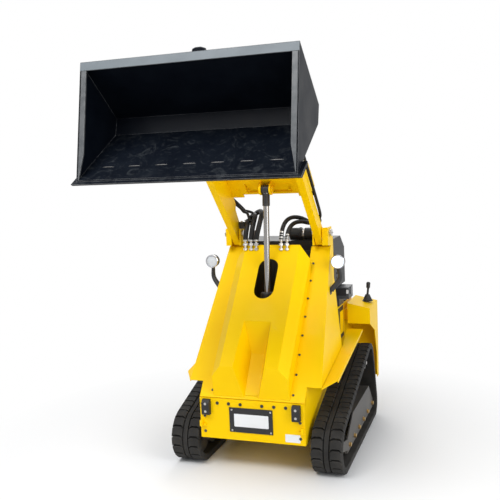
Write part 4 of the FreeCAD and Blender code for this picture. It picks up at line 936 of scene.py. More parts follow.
@dataclass
class Undercarriage:
    """Bolts and hubs of the track frames.

    Attributes:
        plate: x of the track frames' outer face.
        hub: x of the sprocket cap's outer face.
        roller_y: places of the rollers.
        roller_z: height of their axles.
        tail: y and z of the rear wheel's axle.
        drive: y and z of the sprocket's axle.
        drive_ring: radius of the sprocket's ring of bolts.
    """

    plate: float = 490.0
    hub: float = 477.0
    roller_y: tuple[float, ...] = (330.0, 476.25, 622.5, 768.75, 915.0)
    roller_z: float = 96.5
    tail: Pair = (1083.0, 100.0)
    drive: Pair = (948.0, 418.0)
    drive_ring: float = 44.0

    def build(self) -> None:
        """Make the rollers' bolts, and the middle bolt and ring of bolts of each sprocket's cap."""
        spots = [(self.plate, y, self.roller_z) for y in self.roller_y] + [(self.plate, *self.tail)]
        rollers = Shape("roller_bolts").bolts(spots, LEFTWARDS, 24.0, mirrored=True)
        rollers.piece(Body.CHASSIS, GOLD_ZINC)
        y, z = self.drive
        hubs = Shape("sprocket_hubs").bolts([(self.hub, y, z)], LEFTWARDS, 22.0, mirrored=True)
        ring = [(self.hub - 12.0, y + self.drive_ring * math.cos(a), z + self.drive_ring * math.sin(a))
                for a in np.arange(6) * math.pi / 3]
        hubs.bolts(ring, LEFTWARDS, 13.0, mirrored=True)
        hubs.piece(Body.CHASSIS, ZINC)


# ---------------------------------------------------------------- front of the body


@dataclass
class Front:
    """Front panel and the edges of the sloping plate: bolts, blank plates and the stop blocks' bolts.

    Attributes:
        top_bolts: x of the bolts along the panel's top edge.
        top_z: height of those bolts.
        side_bolts: height of the bolts at the panel's sides.
        side_x: x of those bolts.
        flange_x: x of the bolts down the sloping plate.
        flange_y: places of its lowest and highest bolt.
        flange_rise: how much higher the highest one lies.
        stop_inset: x and z from a stop block's outer corners to the middles of its heads.
        label: width and height of the blank label on the black plate.
        small_label: x range and z range of the small blank label.
    """

    top_bolts: Point = (65.0, 136.0, 205.0)
    top_z: float = 410.0
    side_bolts: Pair = (238.0, 330.0)
    side_x: float = 286.0
    flange_x: float = 243.0
    flange_y: Pair = (31.0, 569.0)
    flange_rise: float = 664.0
    stop_inset: Pair = (23.0, 22.0)
    label: Pair = (206.0, 75.0)
    small_label: tuple[float, float, float, float] = (197.0, 284.0, 213.0, 259.0)

    def build(self) -> None:
        """Make every piece of the front panel."""
        self.panel_bolts()
        self.plates()
        self.stops()
        self.flange_bolts()

    def panel_bolts(self) -> None:
        """Bolt the panel along its top edge and down its sides."""
        bolts = Shape("panel_bolts")
        bolts.bolts([(x, 0.0, self.top_z) for x in self.top_bolts], FORWARDS, 15.0, mirrored=True)
        bolts.bolts([(self.side_x, 0.0, z) for z in self.side_bolts], FORWARDS, 13.0, mirrored=True)
        bolts.piece(Body.CHASSIS, BLACK_STEEL)

    def plates(self) -> None:
        """Fix a blank label and four bolts on the black plate, and a small blank label on the panel."""
        low, high = span("sign_plate")
        middle = (low[2] + high[2]) / 2
        label = slab(rectangle(*self.label, 4.0), (0.0, low[1], middle), LEFTWARDS, UPWARDS, 0.8, 0.3)
        Shape("blank_plate").add(label).piece(Body.CHASSIS, LABEL)
        corners = [(high[0] - 11, low[1], z) for z in (low[2] + 12, high[2] - 12)]
        Shape("plate_bolts").bolts(corners, FORWARDS, 9.0, mirrored=True).piece(Body.CHASSIS, ZINC)
        x0, x1, z0, z1 = self.small_label
        spot = ((x0 + x1) / 2, 0.0, (z0 + z1) / 2)
        small = slab(rectangle(x1 - x0, z1 - z0, 3.0), spot, LEFTWARDS, UPWARDS, 0.7, 0.25)
        Shape("small_blank_label").add(small).piece(Body.CHASSIS, LABEL)

    def stops(self) -> None:
        """Sink two round heads into each rubber stop block, almost flush, so that the arms pass them."""
        low, high = span("stop_pads")
        bolts = Shape("stop_bolts")
        head = [(7.5, 0), (7.5, 3.0), (6.8, 3.2)]
        across, up = self.stop_inset
        for z in (low[2] + up, high[2] - up):
            bolts.add(turned(head, (high[0] - across, low[1] + 3.0, z), FORWARDS, 24), mirrored=True)
        bolts.piece(Body.CHASSIS, ZINC)

    def flange_bolts(self) -> None:
        """Set eight bolts down each side of the sloping plate."""
        (low_y, low_z), (high_y, high_z) = SLOPE_FOOT, SLOPE_HEAD
        y = np.linspace(*self.flange_y, 8)
        z = low_z + (y - low_y) * (high_z - low_z) / (high_y - low_y)
        spots = [(self.flange_x, float(a), float(b)) for a, b in zip(y, z)]
        out = (0.0, -self.flange_rise, self.flange_y[1] - self.flange_y[0])
        bolts = Shape("flange_bolts").bolts(spots, out, 11.0, mirrored=True)
        bolts.piece(Body.CHASSIS, BLACK_STEEL)


# ---------------------------------------------------------------- hoses


@dataclass
class Hoses:
    """Hydraulic hoses over the hood and along the arms, with their elbows and clamps.

    Attributes:
        radius: outside radius of the hoses over the hood.
        wider: how much thicker in radius the right three and the left two hoses over the hood are.
        thin: outside radius of the hoses along the arms.
        hood_foot: y of the elbows' feet on the hood.
        elbow_top: height of the elbows' upper ends.
        clamp_x: distance of the clamps' faces from the middle.
        clamp_z: height of the hoses in the clamps.
        clamps: side, y and half length of each clamp.
        straps: places of the straps along the left arm.
    """

    radius: float = 11.0
    wider: Pair = (4.6, 2.0)
    thin: float = 9.0
    hood_foot: float = 494.0
    elbow_top: float = 1300.0
    clamp_x: float = 212.0
    clamp_z: float = 1386.0
    clamps: tuple[Point, ...] = ((-1, 634.0, 41.0), (1, 658.0, 28.0))
    straps: tuple[float, ...] = (86.0, 330.0, 640.0, 990.0)

    def build(self) -> None:
        """Make the hoses over the hood, their elbows and clamps, the arms' hoses and the stretch between."""
        self.front()
        self.elbows()
        self.clamp_bolts()
        self.arms()
        self.bridge()

    def routes(self) -> list[list[Point]]:
        """Give the control points of the five hoses from the elbows to the clamps.

        Returns:
            Control points of each hose.
        """
        top = self.elbow_top
        right = [
            [(-171, 500, top), (-168, 512, 1350), (-166, 546, 1400), (-180, 590, 1414)],
            [(-134, 500, top), (-128, 513, 1366), (-120, 548, 1428), (-130, 600, 1452), (-172, 634, 1434)],
            [(-100, 500, top), (-87, 514, 1370), (-76, 560, 1446), (-92, 616, 1472), (-142, 654, 1456),
             (-184, 662, 1418)],
        ]
        left = [
            [(99, 500, top), (102, 511, 1350), (124, 550, 1394), (156, 600, 1400), (180, 640, 1392)],
            [(62, 500, top), (66, 514, 1370), (90, 548, 1422), (126, 596, 1431), (160, 646, 1416),
             (184, 671, 1398)],
        ]
        for ends, sign, routes in (((608.0, 634.0, 660.0), -1, right), ((645.0, 671.0), 1, left)):
            for y, route in zip(ends, routes):
                route += [(sign * x, y, self.clamp_z) for x in (self.clamp_x - 16, self.clamp_x)]
        return right + left

    def front(self) -> None:
        """Carry each hose over the hood to its clamp."""
        shape = Shape("hood_hoses")
        for number, route in enumerate(self.routes()):
            shape.add(tube(curve(route, 72), self.radius + self.wider[number > 2], 20))
        shape.piece(Body.CHASSIS, HOSE, "chassis_hoses")

    def elbows(self) -> None:
        """Stand a threaded stem, two nuts and a pressed sleeve under each hose."""
        shape = Shape("hose_elbows")
        nut = [(10.5, 3), (12, 4.5), (12, 14), (10.5, 16)]
        upper_nut = [(11.0, 30), (12.5, 31.5), (12.5, 44), (11.0, 46)]
        sleeve = np.array((11.4, 13.2, 13.2, 12.4, 13.2, 12.4, 13.2, 13.2, 11.4))
        for route in self.routes():
            top = np.array(route[0], float)
            base = np.array((top[0], self.hood_foot, hood_height(self.hood_foot)))
            foot, way = tuple(base), tuple(top - base)
            tall = float(np.linalg.norm(top - base))
            shape.add(turned([(6.5, 0), (6.5, tall)], foot, way, 20))
            shape.add(turned(nut, foot, way, 24, flats=6))
            shape.add(turned(upper_nut, foot, way, 24, flats=6))
            shape.add(tube(curve(route, 72)[:9], sleeve, 24))
            seat = [(10.0, tall - 14), (12.6, tall - 11), (12.6, tall - 2), (11.0, tall)]
            shape.add(turned(seat, foot, way, 24))
        shape.piece(Body.CHASSIS, ZINC, "hose_fittings")

    def clamp_bolts(self) -> None:
        """Put a plate and two bolts on each clamp."""
        top = span("hose_clamps")[1][2]
        plates = Shape("clamp_plates")
        bolts = Shape("clamp_bolts")
        for sign, middle, half in self.clamps:
            x = sign * (self.clamp_x + 16)
            plate = rectangle(30.0, 2 * half, 4.0)
            plates.add(slab(plate, (x, middle, top), LEFTWARDS, BACKWARDS, 3.0, 0.6))
            for y in (middle - half + 10, middle + half - 10):
                bolts.bolts([(x, y, top + 3.0)], UPWARDS, 11.0)
        plates.piece(Body.CHASSIS, ZINC)
        bolts.piece(Body.CHASSIS, ZINC)

    def arms(self) -> None:
        """Carry one hose along the left arm's rear edge, at its outer side, and two along the right arm's."""
        shape = Shape("arm_lines")
        back = ARM_BACK + self.thin + 4.0
        outside = ARM_OUTER + self.thin
        route = [(276, 86, back), (outside - 4, 112, back + 2), (outside, 170, back),
                 (outside, 440, back + 1), (outside, 760, back), (outside - 1, 1000, back - 1)]
        shape.add(tube(curve([(x, *on_arm(a, b)) for x, a, b in route], 90), self.thin, 18))
        for k in range(2):
            shape.add(tube(curve(self.right_route(k), 90), self.thin, 18))
        shape.piece(Body.ARMS, HOSE, "arm_hoses")
        clips = Shape("arm_clips")
        for a in self.straps:
            strap = self.strap(a - 12, a + 12, back + 3)
            clips.add(slab(strap, (outside - 30, 0, 0), BACKWARDS, UPWARDS, 24.0, 1.0))
        clips.add(slab(self.strap(542, 570, 59), (-300.0, 0, 0), BACKWARDS, UPWARDS, 36.0, 1.0))
        clips.piece(Body.ARMS, BLACK_STEEL)

    def strap(self, start: float, end: float, out: float) -> list[Pair]:
        """Give the outline of a strap over the hoses at an arm's rear edge.

        Args:
            start: where it starts along the arm.
            end: where it ends.
            out: how far it reaches from the pivot's line.

        Returns:
            The y and z of its corners.
        """
        return [on_arm(start, ARM_BACK), on_arm(start, out), on_arm(end, out), on_arm(end, ARM_BACK)]

    def right_route(self, k: int) -> list[Point]:
        """Give the control points of one of the two hoses on the right arm.

        Args:
            k: 0 for the inner hose, 1 for the outer one.

        Returns:
            Its control points.
        """
        x = -(278.0 + k * (2 * self.thin + 3))
        return [(-214, 634 - k * 22, 1470 - k * 6), (-232, 622 - k * 20, 1496 - k * 2),
                (x + 12, *on_arm(178, 122 - k * 4)), (x, *on_arm(240, 112)), (x, *on_arm(340, 78)),
                (x, *on_arm(470, 52)), (x, *on_arm(560, 46))]

    def bridge(self) -> None:
        """Join the hoses over the hood to the right arm's hoses."""
        shape = Shape("hose_bridge")
        for k in range(2):
            end = self.right_route(k)[0]
            x, y, z = (-126.0 - 24 * k, 574.0 - 22 * k, 1440.0 - 34 * k)
            route = [(x, y, z), (x - 18, y + 24, z + 18), (-186.0, end[1] - 6, end[2] - 4), end]
            shape.add(tube(curve(route, 24), self.thin - 0.3, 18))
        made = shape.piece(None, HOSE)
        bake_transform(made)


# ---------------------------------------------------------------- lamps


@dataclass
class Lamp:
    """Round work lamp on a bent bracket.

    Attributes:
        side: which side of the machine.
        middle: distance of the lamp from the machine's middle, then y and z.
        radius: radius of its rim.
        depth: from its middle back to the end of its housing.
        mount: distance of its foot's inner face from the machine's middle.
        drop: how far its foot lies below it.
        lit: whether it is lit.
    """

    side: Side
    middle: Point = (408.0, 527.0, 1160.0)
    radius: float = 42.0
    depth: float = 44.0
    mount: float = 356.0
    drop: float = 178.0
    lit: bool = False

    def build(self) -> None:
        """Make the finned housing with its bent neck, the rim, the lens and the foot with its bolt."""
        word, sign, r = self.side.name.lower(), self.side.value, self.radius
        x, y, z = sign * self.middle[0], self.middle[1], self.middle[2]
        housing = Shape(f"lamp_{word}_housing")
        profile = [(14, 0), (20, 2), (26, 8), (28, 14), (34, 22), (38, 30), (r - 1, 40), (r - 1, 58),
                   (r - 6, 60), (r - 8, 54), (r - 14, 50), (4, 46)]
        housing.add(turned(profile, (x, y + self.depth, z), FORWARDS, 48))
        for k in range(5):
            fin = 24.0 + 2.6 * k
            disc = [(fin, 0), (fin + 4, 0.4), (fin + 4, 1.6), (fin, 2)]
            housing.add(turned(disc, (x, y + self.depth - 6.0 - 4.0 * k, z), FORWARDS, 32))
        neck = [(x, y + 2, z - r + 2), (x + sign * 3, y + 6, z - 62), (x + sign * 9, y + 16, z - 92),
                (x + sign * 2, y + 12, z - 118), (x - sign * 34, y, z - 158), (x - sign * 48, y - 6, z - 176)]
        housing.add(tube(curve(neck, 40), np.linspace(11.0, 17.0, 40), 20))
        housing.piece(Body.CHASSIS, PLASTIC, "work_lights")
        hoop = [(r - 5, 0), (r, 1), (r, 7), (r - 3, 10), (r - 6, 10), (r - 7, 3)]
        rim = Shape(f"lamp_{word}_rim").add(turned(hoop, (x, y - 13.0, z), FORWARDS, 48), loop=True)
        rim.piece(Body.CHASSIS, LAMP_RIM)
        dome = [(r - 6, 0), (r - 6, 2), (r - 12, 4.4), (r - 22, 6.2), (3, 7.2)]
        lens = Shape(f"lamp_{word}_lens").add(turned(dome, (x, y - 14.0, z), FORWARDS, 40))
        lens.piece(Body.CHASSIS, LAMP_LIT if self.lit else LAMP_LENS)
        foot = Shape(f"lamp_{word}_foot")
        spot = (sign * self.mount, y - 6, z - self.drop)
        foot.add(slab(rectangle(40.0, 46.0, 6.0), spot, BACKWARDS, UPWARDS, 5.0, 0.8))
        foot.bolts([(sign * (self.mount + 5.0), y - 6, z - self.drop)], (sign, 0, 0), 15.0)
        foot.piece(Body.CHASSIS, BLACK_STEEL)


# ---------------------------------------------------------------- lift and tilt cylinders


@dataclass
class Cylinder:
    """Dress of one hydraulic cylinder: the ring at its foot, its gland nut and ports, and the rod's end.

    Attributes:
        name: which cylinder.
        base: y and z of its base pin at rest.
        eye: y and z of its rod eye at rest.
        tube_radius: outside radius of the tube.
        tube_length: length of the tube from the base pin.
        rod_radius: radius of the rod.
        barrel: body of the tube.
        rod: body of the rod.
        sleeve: length of the black end of the rod.
        collar: radius of that end.
        eye_radius: radius of the rod's eye.
        eye_width: width of that eye.
        ring_at: from the base pin to the ring at the tube's foot.
        gland: length of the gland nut on the tube.
        ports: from the base pin to the lower port, and from the tube's end to the upper one.
    """

    name: str
    base: Pair
    eye: Pair
    tube_radius: float
    tube_length: float
    rod_radius: float
    barrel: Body
    rod: Body
    sleeve: float
    collar: float
    eye_radius: float
    eye_width: float
    ring_at: float = 40.0
    gland: float = 34.0
    ports: Pair = (62.0, 60.0)

    def build(self) -> None:
        """Make the rings and ports on the tube, and the sleeve and the eye's shell at the rod's end."""
        along = np.array((0.0, self.eye[0] - self.base[0], self.eye[1] - self.base[1]))
        along /= np.linalg.norm(along)
        foot = np.array((0.0, *self.base))
        r, long, thin = self.tube_radius, self.tube_length, self.rod_radius
        gland = Shape(f"{self.name}_gland")
        top = tuple(foot + along * (long - self.gland))
        gland.add(turned([(r, 0), (r + 3.5, 1.5), (r + 3.5, 28), (r + 1, 31), (r - 2, 34.6), (thin + 5, 35.5),
                          (thin + 0.6, 36.5), (thin + 0.6, 30)], top, tuple(along), 48), capped=False)
        low = tuple(foot + along * self.ring_at)
        gland.add(turned([(r, 0), (r + 1.6, 2), (r + 1.6, 7), (r, 9)], low, tuple(along), 48), capped=False)
        port = np.cross(along, LEFTWARDS)
        for place in (self.ports[0], long - self.ports[1]):
            spot = tuple(foot + along * place - port * (r - 2))
            gland.add(turned([(11, 0), (11, 9), (9.5, 10.5)], spot, tuple(-port), 24, flats=6))
        gland.piece(self.barrel, BLACK_STEEL)
        sleeve = Shape(f"{self.name}_rod_end")
        end = tuple(np.array((0.0, *self.eye)) - along * self.sleeve)
        half, rim = self.eye_width / 2, self.eye_radius
        profile = [(thin + 0.4, 0), (self.collar, 2), (self.collar, self.sleeve - rim + 3)]
        sleeve.add(turned(profile, end, tuple(along), 40))
        shell = [(rim - 10, -half - 0.4), (rim, -half - 0.4), (rim + 0.7, -half + 1), (rim + 0.7, half - 1),
                 (rim, half + 0.4), (rim - 10, half + 0.4)]
        sleeve.add(turned(shell, (0.0, *self.eye), LEFTWARDS, 40), capped=False)
        sleeve.piece(self.rod, BLACK_STEEL)


# ---------------------------------------------------------------- arms and bucket


@dataclass
class Arms:
    """Keepers of the arms' pivot pin, and the bolts of the crossmember between the arms.

    Attributes:
        keeper: distance of the keepers from the middle.
        cross_x: x of the crossmember's bolts.
        cross_at: their place along the arms and square to them.
    """

    keeper: float = UPPER_HALF + 10.4
    cross_x: Pair = (130.0, 205.0)
    cross_at: Pair = (300.0, 97.7)

    def build(self) -> None:
        """Make the pin keepers with their grease nipples, and the bolts."""
        keepers = Shape("pivot_keepers")
        disc = [(21, 0), (23, 1), (23, 5), (20, 6.5)]
        nipple = [(4, 6), (4, 10), (2.4, 11), (3, 13), (1.6, 15)]
        for sign in (-1, 1):
            for profile, sides in ((disc, 36), (nipple, 16)):
                keepers.add(turned(profile, (sign * self.keeper, *ARM_PIVOT), (sign, 0, 0), sides))
        keepers.piece(Body.ARMS, ZINC)
        spots = [(x, *on_arm(*self.cross_at)) for x in self.cross_x]
        out = (0.0, -ARM_ACROSS[0], -ARM_ACROSS[1])
        Shape("cross_bolts").bolts(spots, out, 13.0, mirrored=True).piece(Body.ARMS, YELLOW)


@dataclass
class Bucket:
    """Bars along the bucket's side edges, the face and the lug of its lip, and weld beads on its floor.

    Attributes:
        half: half width of the bucket.
        lip: y and z of its upper edge.
        toe: y and z of the floor's rear edge.
        edge: y and z of the floor's front edge.
        bar: width and thickness of the side bars.
        sheet: thickness of the floor.
        bead_back: from the floor's front edge back to the beads.
    """

    half: float = 538.0
    lip: Pair = (-670.0, 2277.0)
    toe: Pair = (-391.0, 1938.0)
    edge: Pair = (-776.0, 1717.0)
    bar: Pair = (33.0, 10.0)
    sheet: float = 6.0
    bead_back: float = 118.0

    def build(self) -> None:
        """Make the bars, the lip's pieces and the beads."""
        self.bars()
        self.upper_edge()
        self.beads()

    def side(self) -> tuple[np.ndarray, float]:
        """Give the way from the lip down to the floor's front edge, at full length, and that length."""
        down = np.array((0.0, self.edge[0] - self.lip[0], self.edge[1] - self.lip[1]))
        return down, float(np.linalg.norm(down))

    def bars(self) -> None:
        """Lay a bar along each side edge of the mouth, narrower over its lowest stretch."""
        down, long = self.side()
        wide, thick = self.bar
        outline = [(0, 0), (wide - 0.5, 0), (wide - 0.5, long - 6), (wide - 10, long - 6), (0, long - 132)]
        bar = slab(outline, (self.half - wide, *self.lip), LEFTWARDS, tuple(down), thick, 1.2)
        Shape("bucket_side_bars").add(bar, mirrored=True).piece(Body.BUCKET, BUCKET_EDGE_PAINT)

    def upper_edge(self) -> None:
        """Face the lip with a pale grey-blue strip, and stand a lug on it."""
        down, long = self.side()
        inward = np.cross(LEFTWARDS, down / long)
        middle = np.array((0.0, *self.lip)) + down / long * 21 - inward * 0.4
        strip = slab(rectangle(2 * self.half - 2.4, 39.0), tuple(middle), LEFTWARDS, tuple(down), 0.8, 0.2)
        Shape("lip_face").add(strip).piece(Body.BUCKET, LIP_PAINT)
        outline = [(-34, 0), (34, 0), (30, 14), (12, 20), (-14, 20), (-30, 14)]
        lug = slab(outline, (66.0, self.lip[0] + 30, self.lip[1] - 1), LEFTWARDS, UPWARDS, 22.0, 3.0)
        Shape("lip_lug").add(lug).piece(Body.BUCKET, BUCKET_PAINT)

    def beads(self) -> None:
        """Lay seven short weld beads across the floor, behind the cutting edge."""
        ahead = np.array((0.0, self.edge[0] - self.toe[0], self.edge[1] - self.toe[1]))
        long = float(np.linalg.norm(ahead))
        ahead /= long
        up = np.cross(ahead, LEFTWARDS)
        shape = Shape("floor_beads")
        for x in np.linspace(-420, 420, 7):
            middle = np.array((x, *self.toe)) + ahead * (long - self.bead_back) + up * self.sheet
            path = middle + np.linspace(-30, 30, 9)[:, None] * np.array(LEFTWARDS)
            reach = 2.6 * np.sqrt(1 - np.linspace(-0.96, 0.96, 9) ** 2) + 0.6
            shape.add(tube(path, reach, 12, (0.0, 0.3, 1.0)))
        shape.piece(Body.BUCKET, WELD)


# ---------------------------------------------------------------- operator's end


@dataclass
class OperatorEnd:
    """Joysticks, the control box's flap and tags, the console's dials and grips, and the step's grips.

    Attributes:
        lever_x: distance of the joysticks from the middle.
        lever_y: their place from the front panel.
        dials: y and z of the dials on the console's sloping panel.
        panel_out: the way that panel faces.
        bar_z: height of the console's bar.
    """

    lever_x: float = 468.5
    lever_y: float = 1135.0
    dials: Pair = (1165.0, 1085.0)
    panel_out: Point = (0.0, 0.62, 0.78)
    bar_z: float = 1060.0

    def build(self) -> None:
        """Make every piece of the operator's end."""
        self.joysticks()
        self.box()
        self.console()
        self.step()

    def joysticks(self) -> None:
        """Turn a folded boot and a grip for each joystick."""
        low, high = span("control_levers")
        shape = Shape("joysticks")
        x, y = self.lever_x, self.lever_y
        seat = low[2]
        share = np.linspace(0, 1, 25)
        fold = 2.2 * np.cos(share * 8 * math.pi) * (1 - share)
        boot = list(zip((34 - 20 * share + fold).tolist(), (44 * share).tolist()))
        shape.add(turned(boot, (x, y, seat), UPWARDS, 40), mirrored=True)
        shape.add(tube(np.linspace((x, y, seat + 40), (x + 8, y - 6, seat + 100), 6), 7.5, 20), mirrored=True)
        top = high[2] - seat - 88
        grip = [(9, 0), (12, 3), (13.5, 12), (13, 24), (14, top - 16), (13.5, top - 8), (10, top - 2),
                (3, top)]
        shape.add(turned(grip, (x + 6, y - 4, seat + 88), (4, -4, 46), 32), mirrored=True)
        shape.piece(Body.CHASSIS, RUBBER, "control_levers")

    def box(self) -> None:
        """Dress the control box: a dark flap, a blank label and a dark tag on its side."""
        low, high = span("battery_box")
        flap = rectangle(high[0] - low[0] - 22, 48.0, 5.0)
        spot = ((low[0] + high[0]) / 2 - 6, low[1], high[2] - 30)
        Shape("box_flap").add(slab(flap, spot, LEFTWARDS, UPWARDS, 3.0, 0.8)).piece(Body.CHASSIS, PLASTIC)
        label = Shape("box_blank_label")
        spot = (high[0] - 9, low[1], high[2] - 28)
        label.add(slab(rectangle(14.0, 26.0, 1.5), spot, LEFTWARDS, UPWARDS, 0.8, 0.25))
        label.piece(Body.CHASSIS, LABEL)
        tag = Shape("side_black_tag")
        spot = (high[0] + 3.0, low[1] + 66, high[2] - 28)
        tag.add(slab(rectangle(54.0, 50.0, 4.0), spot, BACKWARDS, UPWARDS, 2.2, 0.5))
        tag.piece(Body.CHASSIS, GLOSS_BLACK)

    def console(self) -> None:
        """Set two gauges and three knobs on the console's sloping panel, and grips on its bar."""
        panel = Shape("console_dials")
        gauge = [(30, 0), (33, 1), (33, 5), (29, 6), (28, 3.5), (1, 3.5)]
        knob = [(12, 0), (12, 6), (9, 8), (9, 12), (1, 12.5)]
        for x in (-90.0, 0.0):
            panel.add(turned(gauge, (x, *self.dials), self.panel_out, 36))
        for x in (70.0, 105.0, 140.0):
            panel.add(turned(knob, (x, *self.dials), self.panel_out, 24))
        panel.piece(Body.CHASSIS, GLOSS_BLACK)
        y, z = span("control_console")[1][1] - 12.0, self.bar_z
        ribs = 14.5 + 1.3 * np.cos(np.linspace(0, 1, 33) * 22 * math.pi)
        grips = Shape("bar_grips")
        grips.add(tube(np.linspace((60.0, y, z), (195.0, y, z), 33), ribs, 24), mirrored=True)
        grips.piece(Body.CHASSIS, RUBBER)

    def step(self) -> None:
        """Press rows of round grips out of the step's deck."""
        low, high = span("operator_step")
        shape = Shape("step_grips")
        ring = [(9, -0.2), (8, 2.2), (6.5, 2.4), (5.5, 0.8), (1, 0.7)]
        for y in np.linspace(low[1] + 50, high[1] - 45, 5).tolist():
            for x in np.linspace(-250, 250, 11).tolist():
                shape.add(turned(ring, (x, y, high[2]), UPWARDS, 14))
        shape.piece(Body.CHASSIS, BLACK_STEEL)


# ---------------------------------------------------------------- hood and engine


@dataclass
class Engine:
    """Dress of the engine's bay: louvres, the air cleaner's bands, the exhaust, side panels in black frames
    of painted shade, and a bulkhead.

    Attributes:
        cowl_top: height of the cowl.
        cowl_half: distance of its sides from the middle.
        louvre_z: heights of the lowest and the highest louvre.
        louvre_y: place of the louvres' front ends, and their length.
        pipe: x and y of the exhaust.
        drum: y, z and radius of the air cleaner.
        border: y and z of the side frames' middle; their black is painted shade of the gaps round the panels.
        panel_y: y of the side panels' middle.
        sheet: y and z of the bulkhead's middle.
    """

    cowl_top: float = 1262.0
    cowl_half: float = 333.0
    louvre_z: Pair = (1010.0, 1130.0)
    louvre_y: Pair = (800.0, 190.0)
    pipe: Pair = (-230.0, 860.0)
    drum: Point = (776.0, 1304.0, 40.0)
    border: Pair = (854.0, 704.0)
    panel_y: float = 894.0
    sheet: Pair = (664.0, 890.0)

    def build(self) -> None:
        """Make the air cleaner's bands and cap, the louvres, the exhaust, the bulkhead and the panels."""
        self.air_cleaner()
        self.louvres()
        self.exhaust()
        self.bulkhead()
        self.side_panels()

    def side_panels(self) -> None:
        """Frame a yellow panel in black on each side of the engine, in front of the side boxes; the black
        frame is painted shade, standing for the dark gaps round the panel.
        """
        border = Shape("side_painted_shade_frames")
        panel = Shape("side_panels")
        y, z = self.border
        for sign in (-1, 1):
            x, out = sign * UPPER_HALF, (0, sign, 0)
            # painted shade: a black frame where the gaps round the side panel look dark
            border.add(slab(rectangle(200.0, 208.0, 6.0), (x, y, z), out, UPWARDS, 3.0, 0.8))
            spot = (x + sign * 3.0, self.panel_y, z)
            panel.add(slab(rectangle(92.0, 150.0, 6.0), spot, out, UPWARDS, 1.6, 0.6))
        border.piece(Body.CHASSIS, BLACK_STEEL)
        panel.piece(Body.CHASSIS, YELLOW)

    def bulkhead(self) -> None:
        """Close the engine's bay off behind the lift cylinder with a dark ribbed sheet."""
        shape = Shape("bulkhead")
        y, z = self.sheet
        shape.add(slab(rectangle(590.0, 640.0, 8.0), (0.0, y, z), LEFTWARDS, UPWARDS, 4.0, 0.8))
        for x in (-180.0, -60.0, 60.0, 180.0):
            shape.add(slab(rectangle(26.0, 560.0, 10.0), (x, y - 3.5, z), LEFTWARDS, UPWARDS, 5.0, 2.0))
        shape.piece(Body.CHASSIS, BLACK_STEEL)

    def air_cleaner(self) -> None:
        """Band the air cleaner's drum, and dish its end."""
        y, z, r = self.drum
        bands = Shape("air_cleaner_bands")
        band = [(r, 0), (r + 2.2, 0.6), (r + 2.2, 11.4), (r, 12)]
        for x in (132.0, 262.0):
            bands.add(turned(band, (x, y, z), LEFTWARDS, 48), capped=False)
        bands.piece(Body.CHASSIS, ZINC)
        cap = Shape("air_cleaner_cap")
        dish = [(r, 0), (r - 1, 4), (r - 8, 8), (r - 16, 9), (r - 22, 6), (2, 5)]
        cap.add(turned(dish, (296.0, y, z), LEFTWARDS, 48))
        for angle in np.arange(6) * math.pi / 3:
            spot = (60.0, y + (r + 1) * math.cos(angle), z + (r + 1) * math.sin(angle))
            cap.add(turned([(2.5, 0), (3, 1), (3, 40), (2.5, 41)], spot, LEFTWARDS, 10))
        cap.piece(Body.CHASSIS, PLASTIC)

    def louvres(self) -> None:
        """Set five hooded slots on each side of the cowl; a section gives places outwards and upwards."""
        shape = Shape("cowl_louvres")
        section = ((0.0, 0.0), (8.0, 0.0), (0.0, 16.0), (-2.0, 8.0))
        start, long = self.louvre_y
        for z in np.linspace(*self.louvre_z, 5):
            rows = [[(self.cowl_half + out, y, z + up) for out, up in section]
                    for y in start + long * np.linspace(0, 1, 7)]
            shape.add(np.array(rows), mirrored=True)
        shape.piece(Body.CHASSIS, PLASTIC)

    def exhaust(self) -> None:
        """Bend the exhaust pipe up out of the cowl's top, at its right."""
        shape = Shape("exhaust")
        x, y, z = *self.pipe, self.cowl_top
        route = [(x, y, z - 6), (x, y, z + 18), (x - 2, y + 6, z + 34), (x - 8, y + 26, z + 42)]
        shape.add(tube(curve(route, 20), 17.0, 28))
        shape.add(turned([(20, 0), (24, 1), (24, 4), (20, 5)], (x, y, z), UPWARDS, 36))
        shape.piece(Body.CHASSIS, CAST_IRON)


# ---------------------------------------------------------------- studio


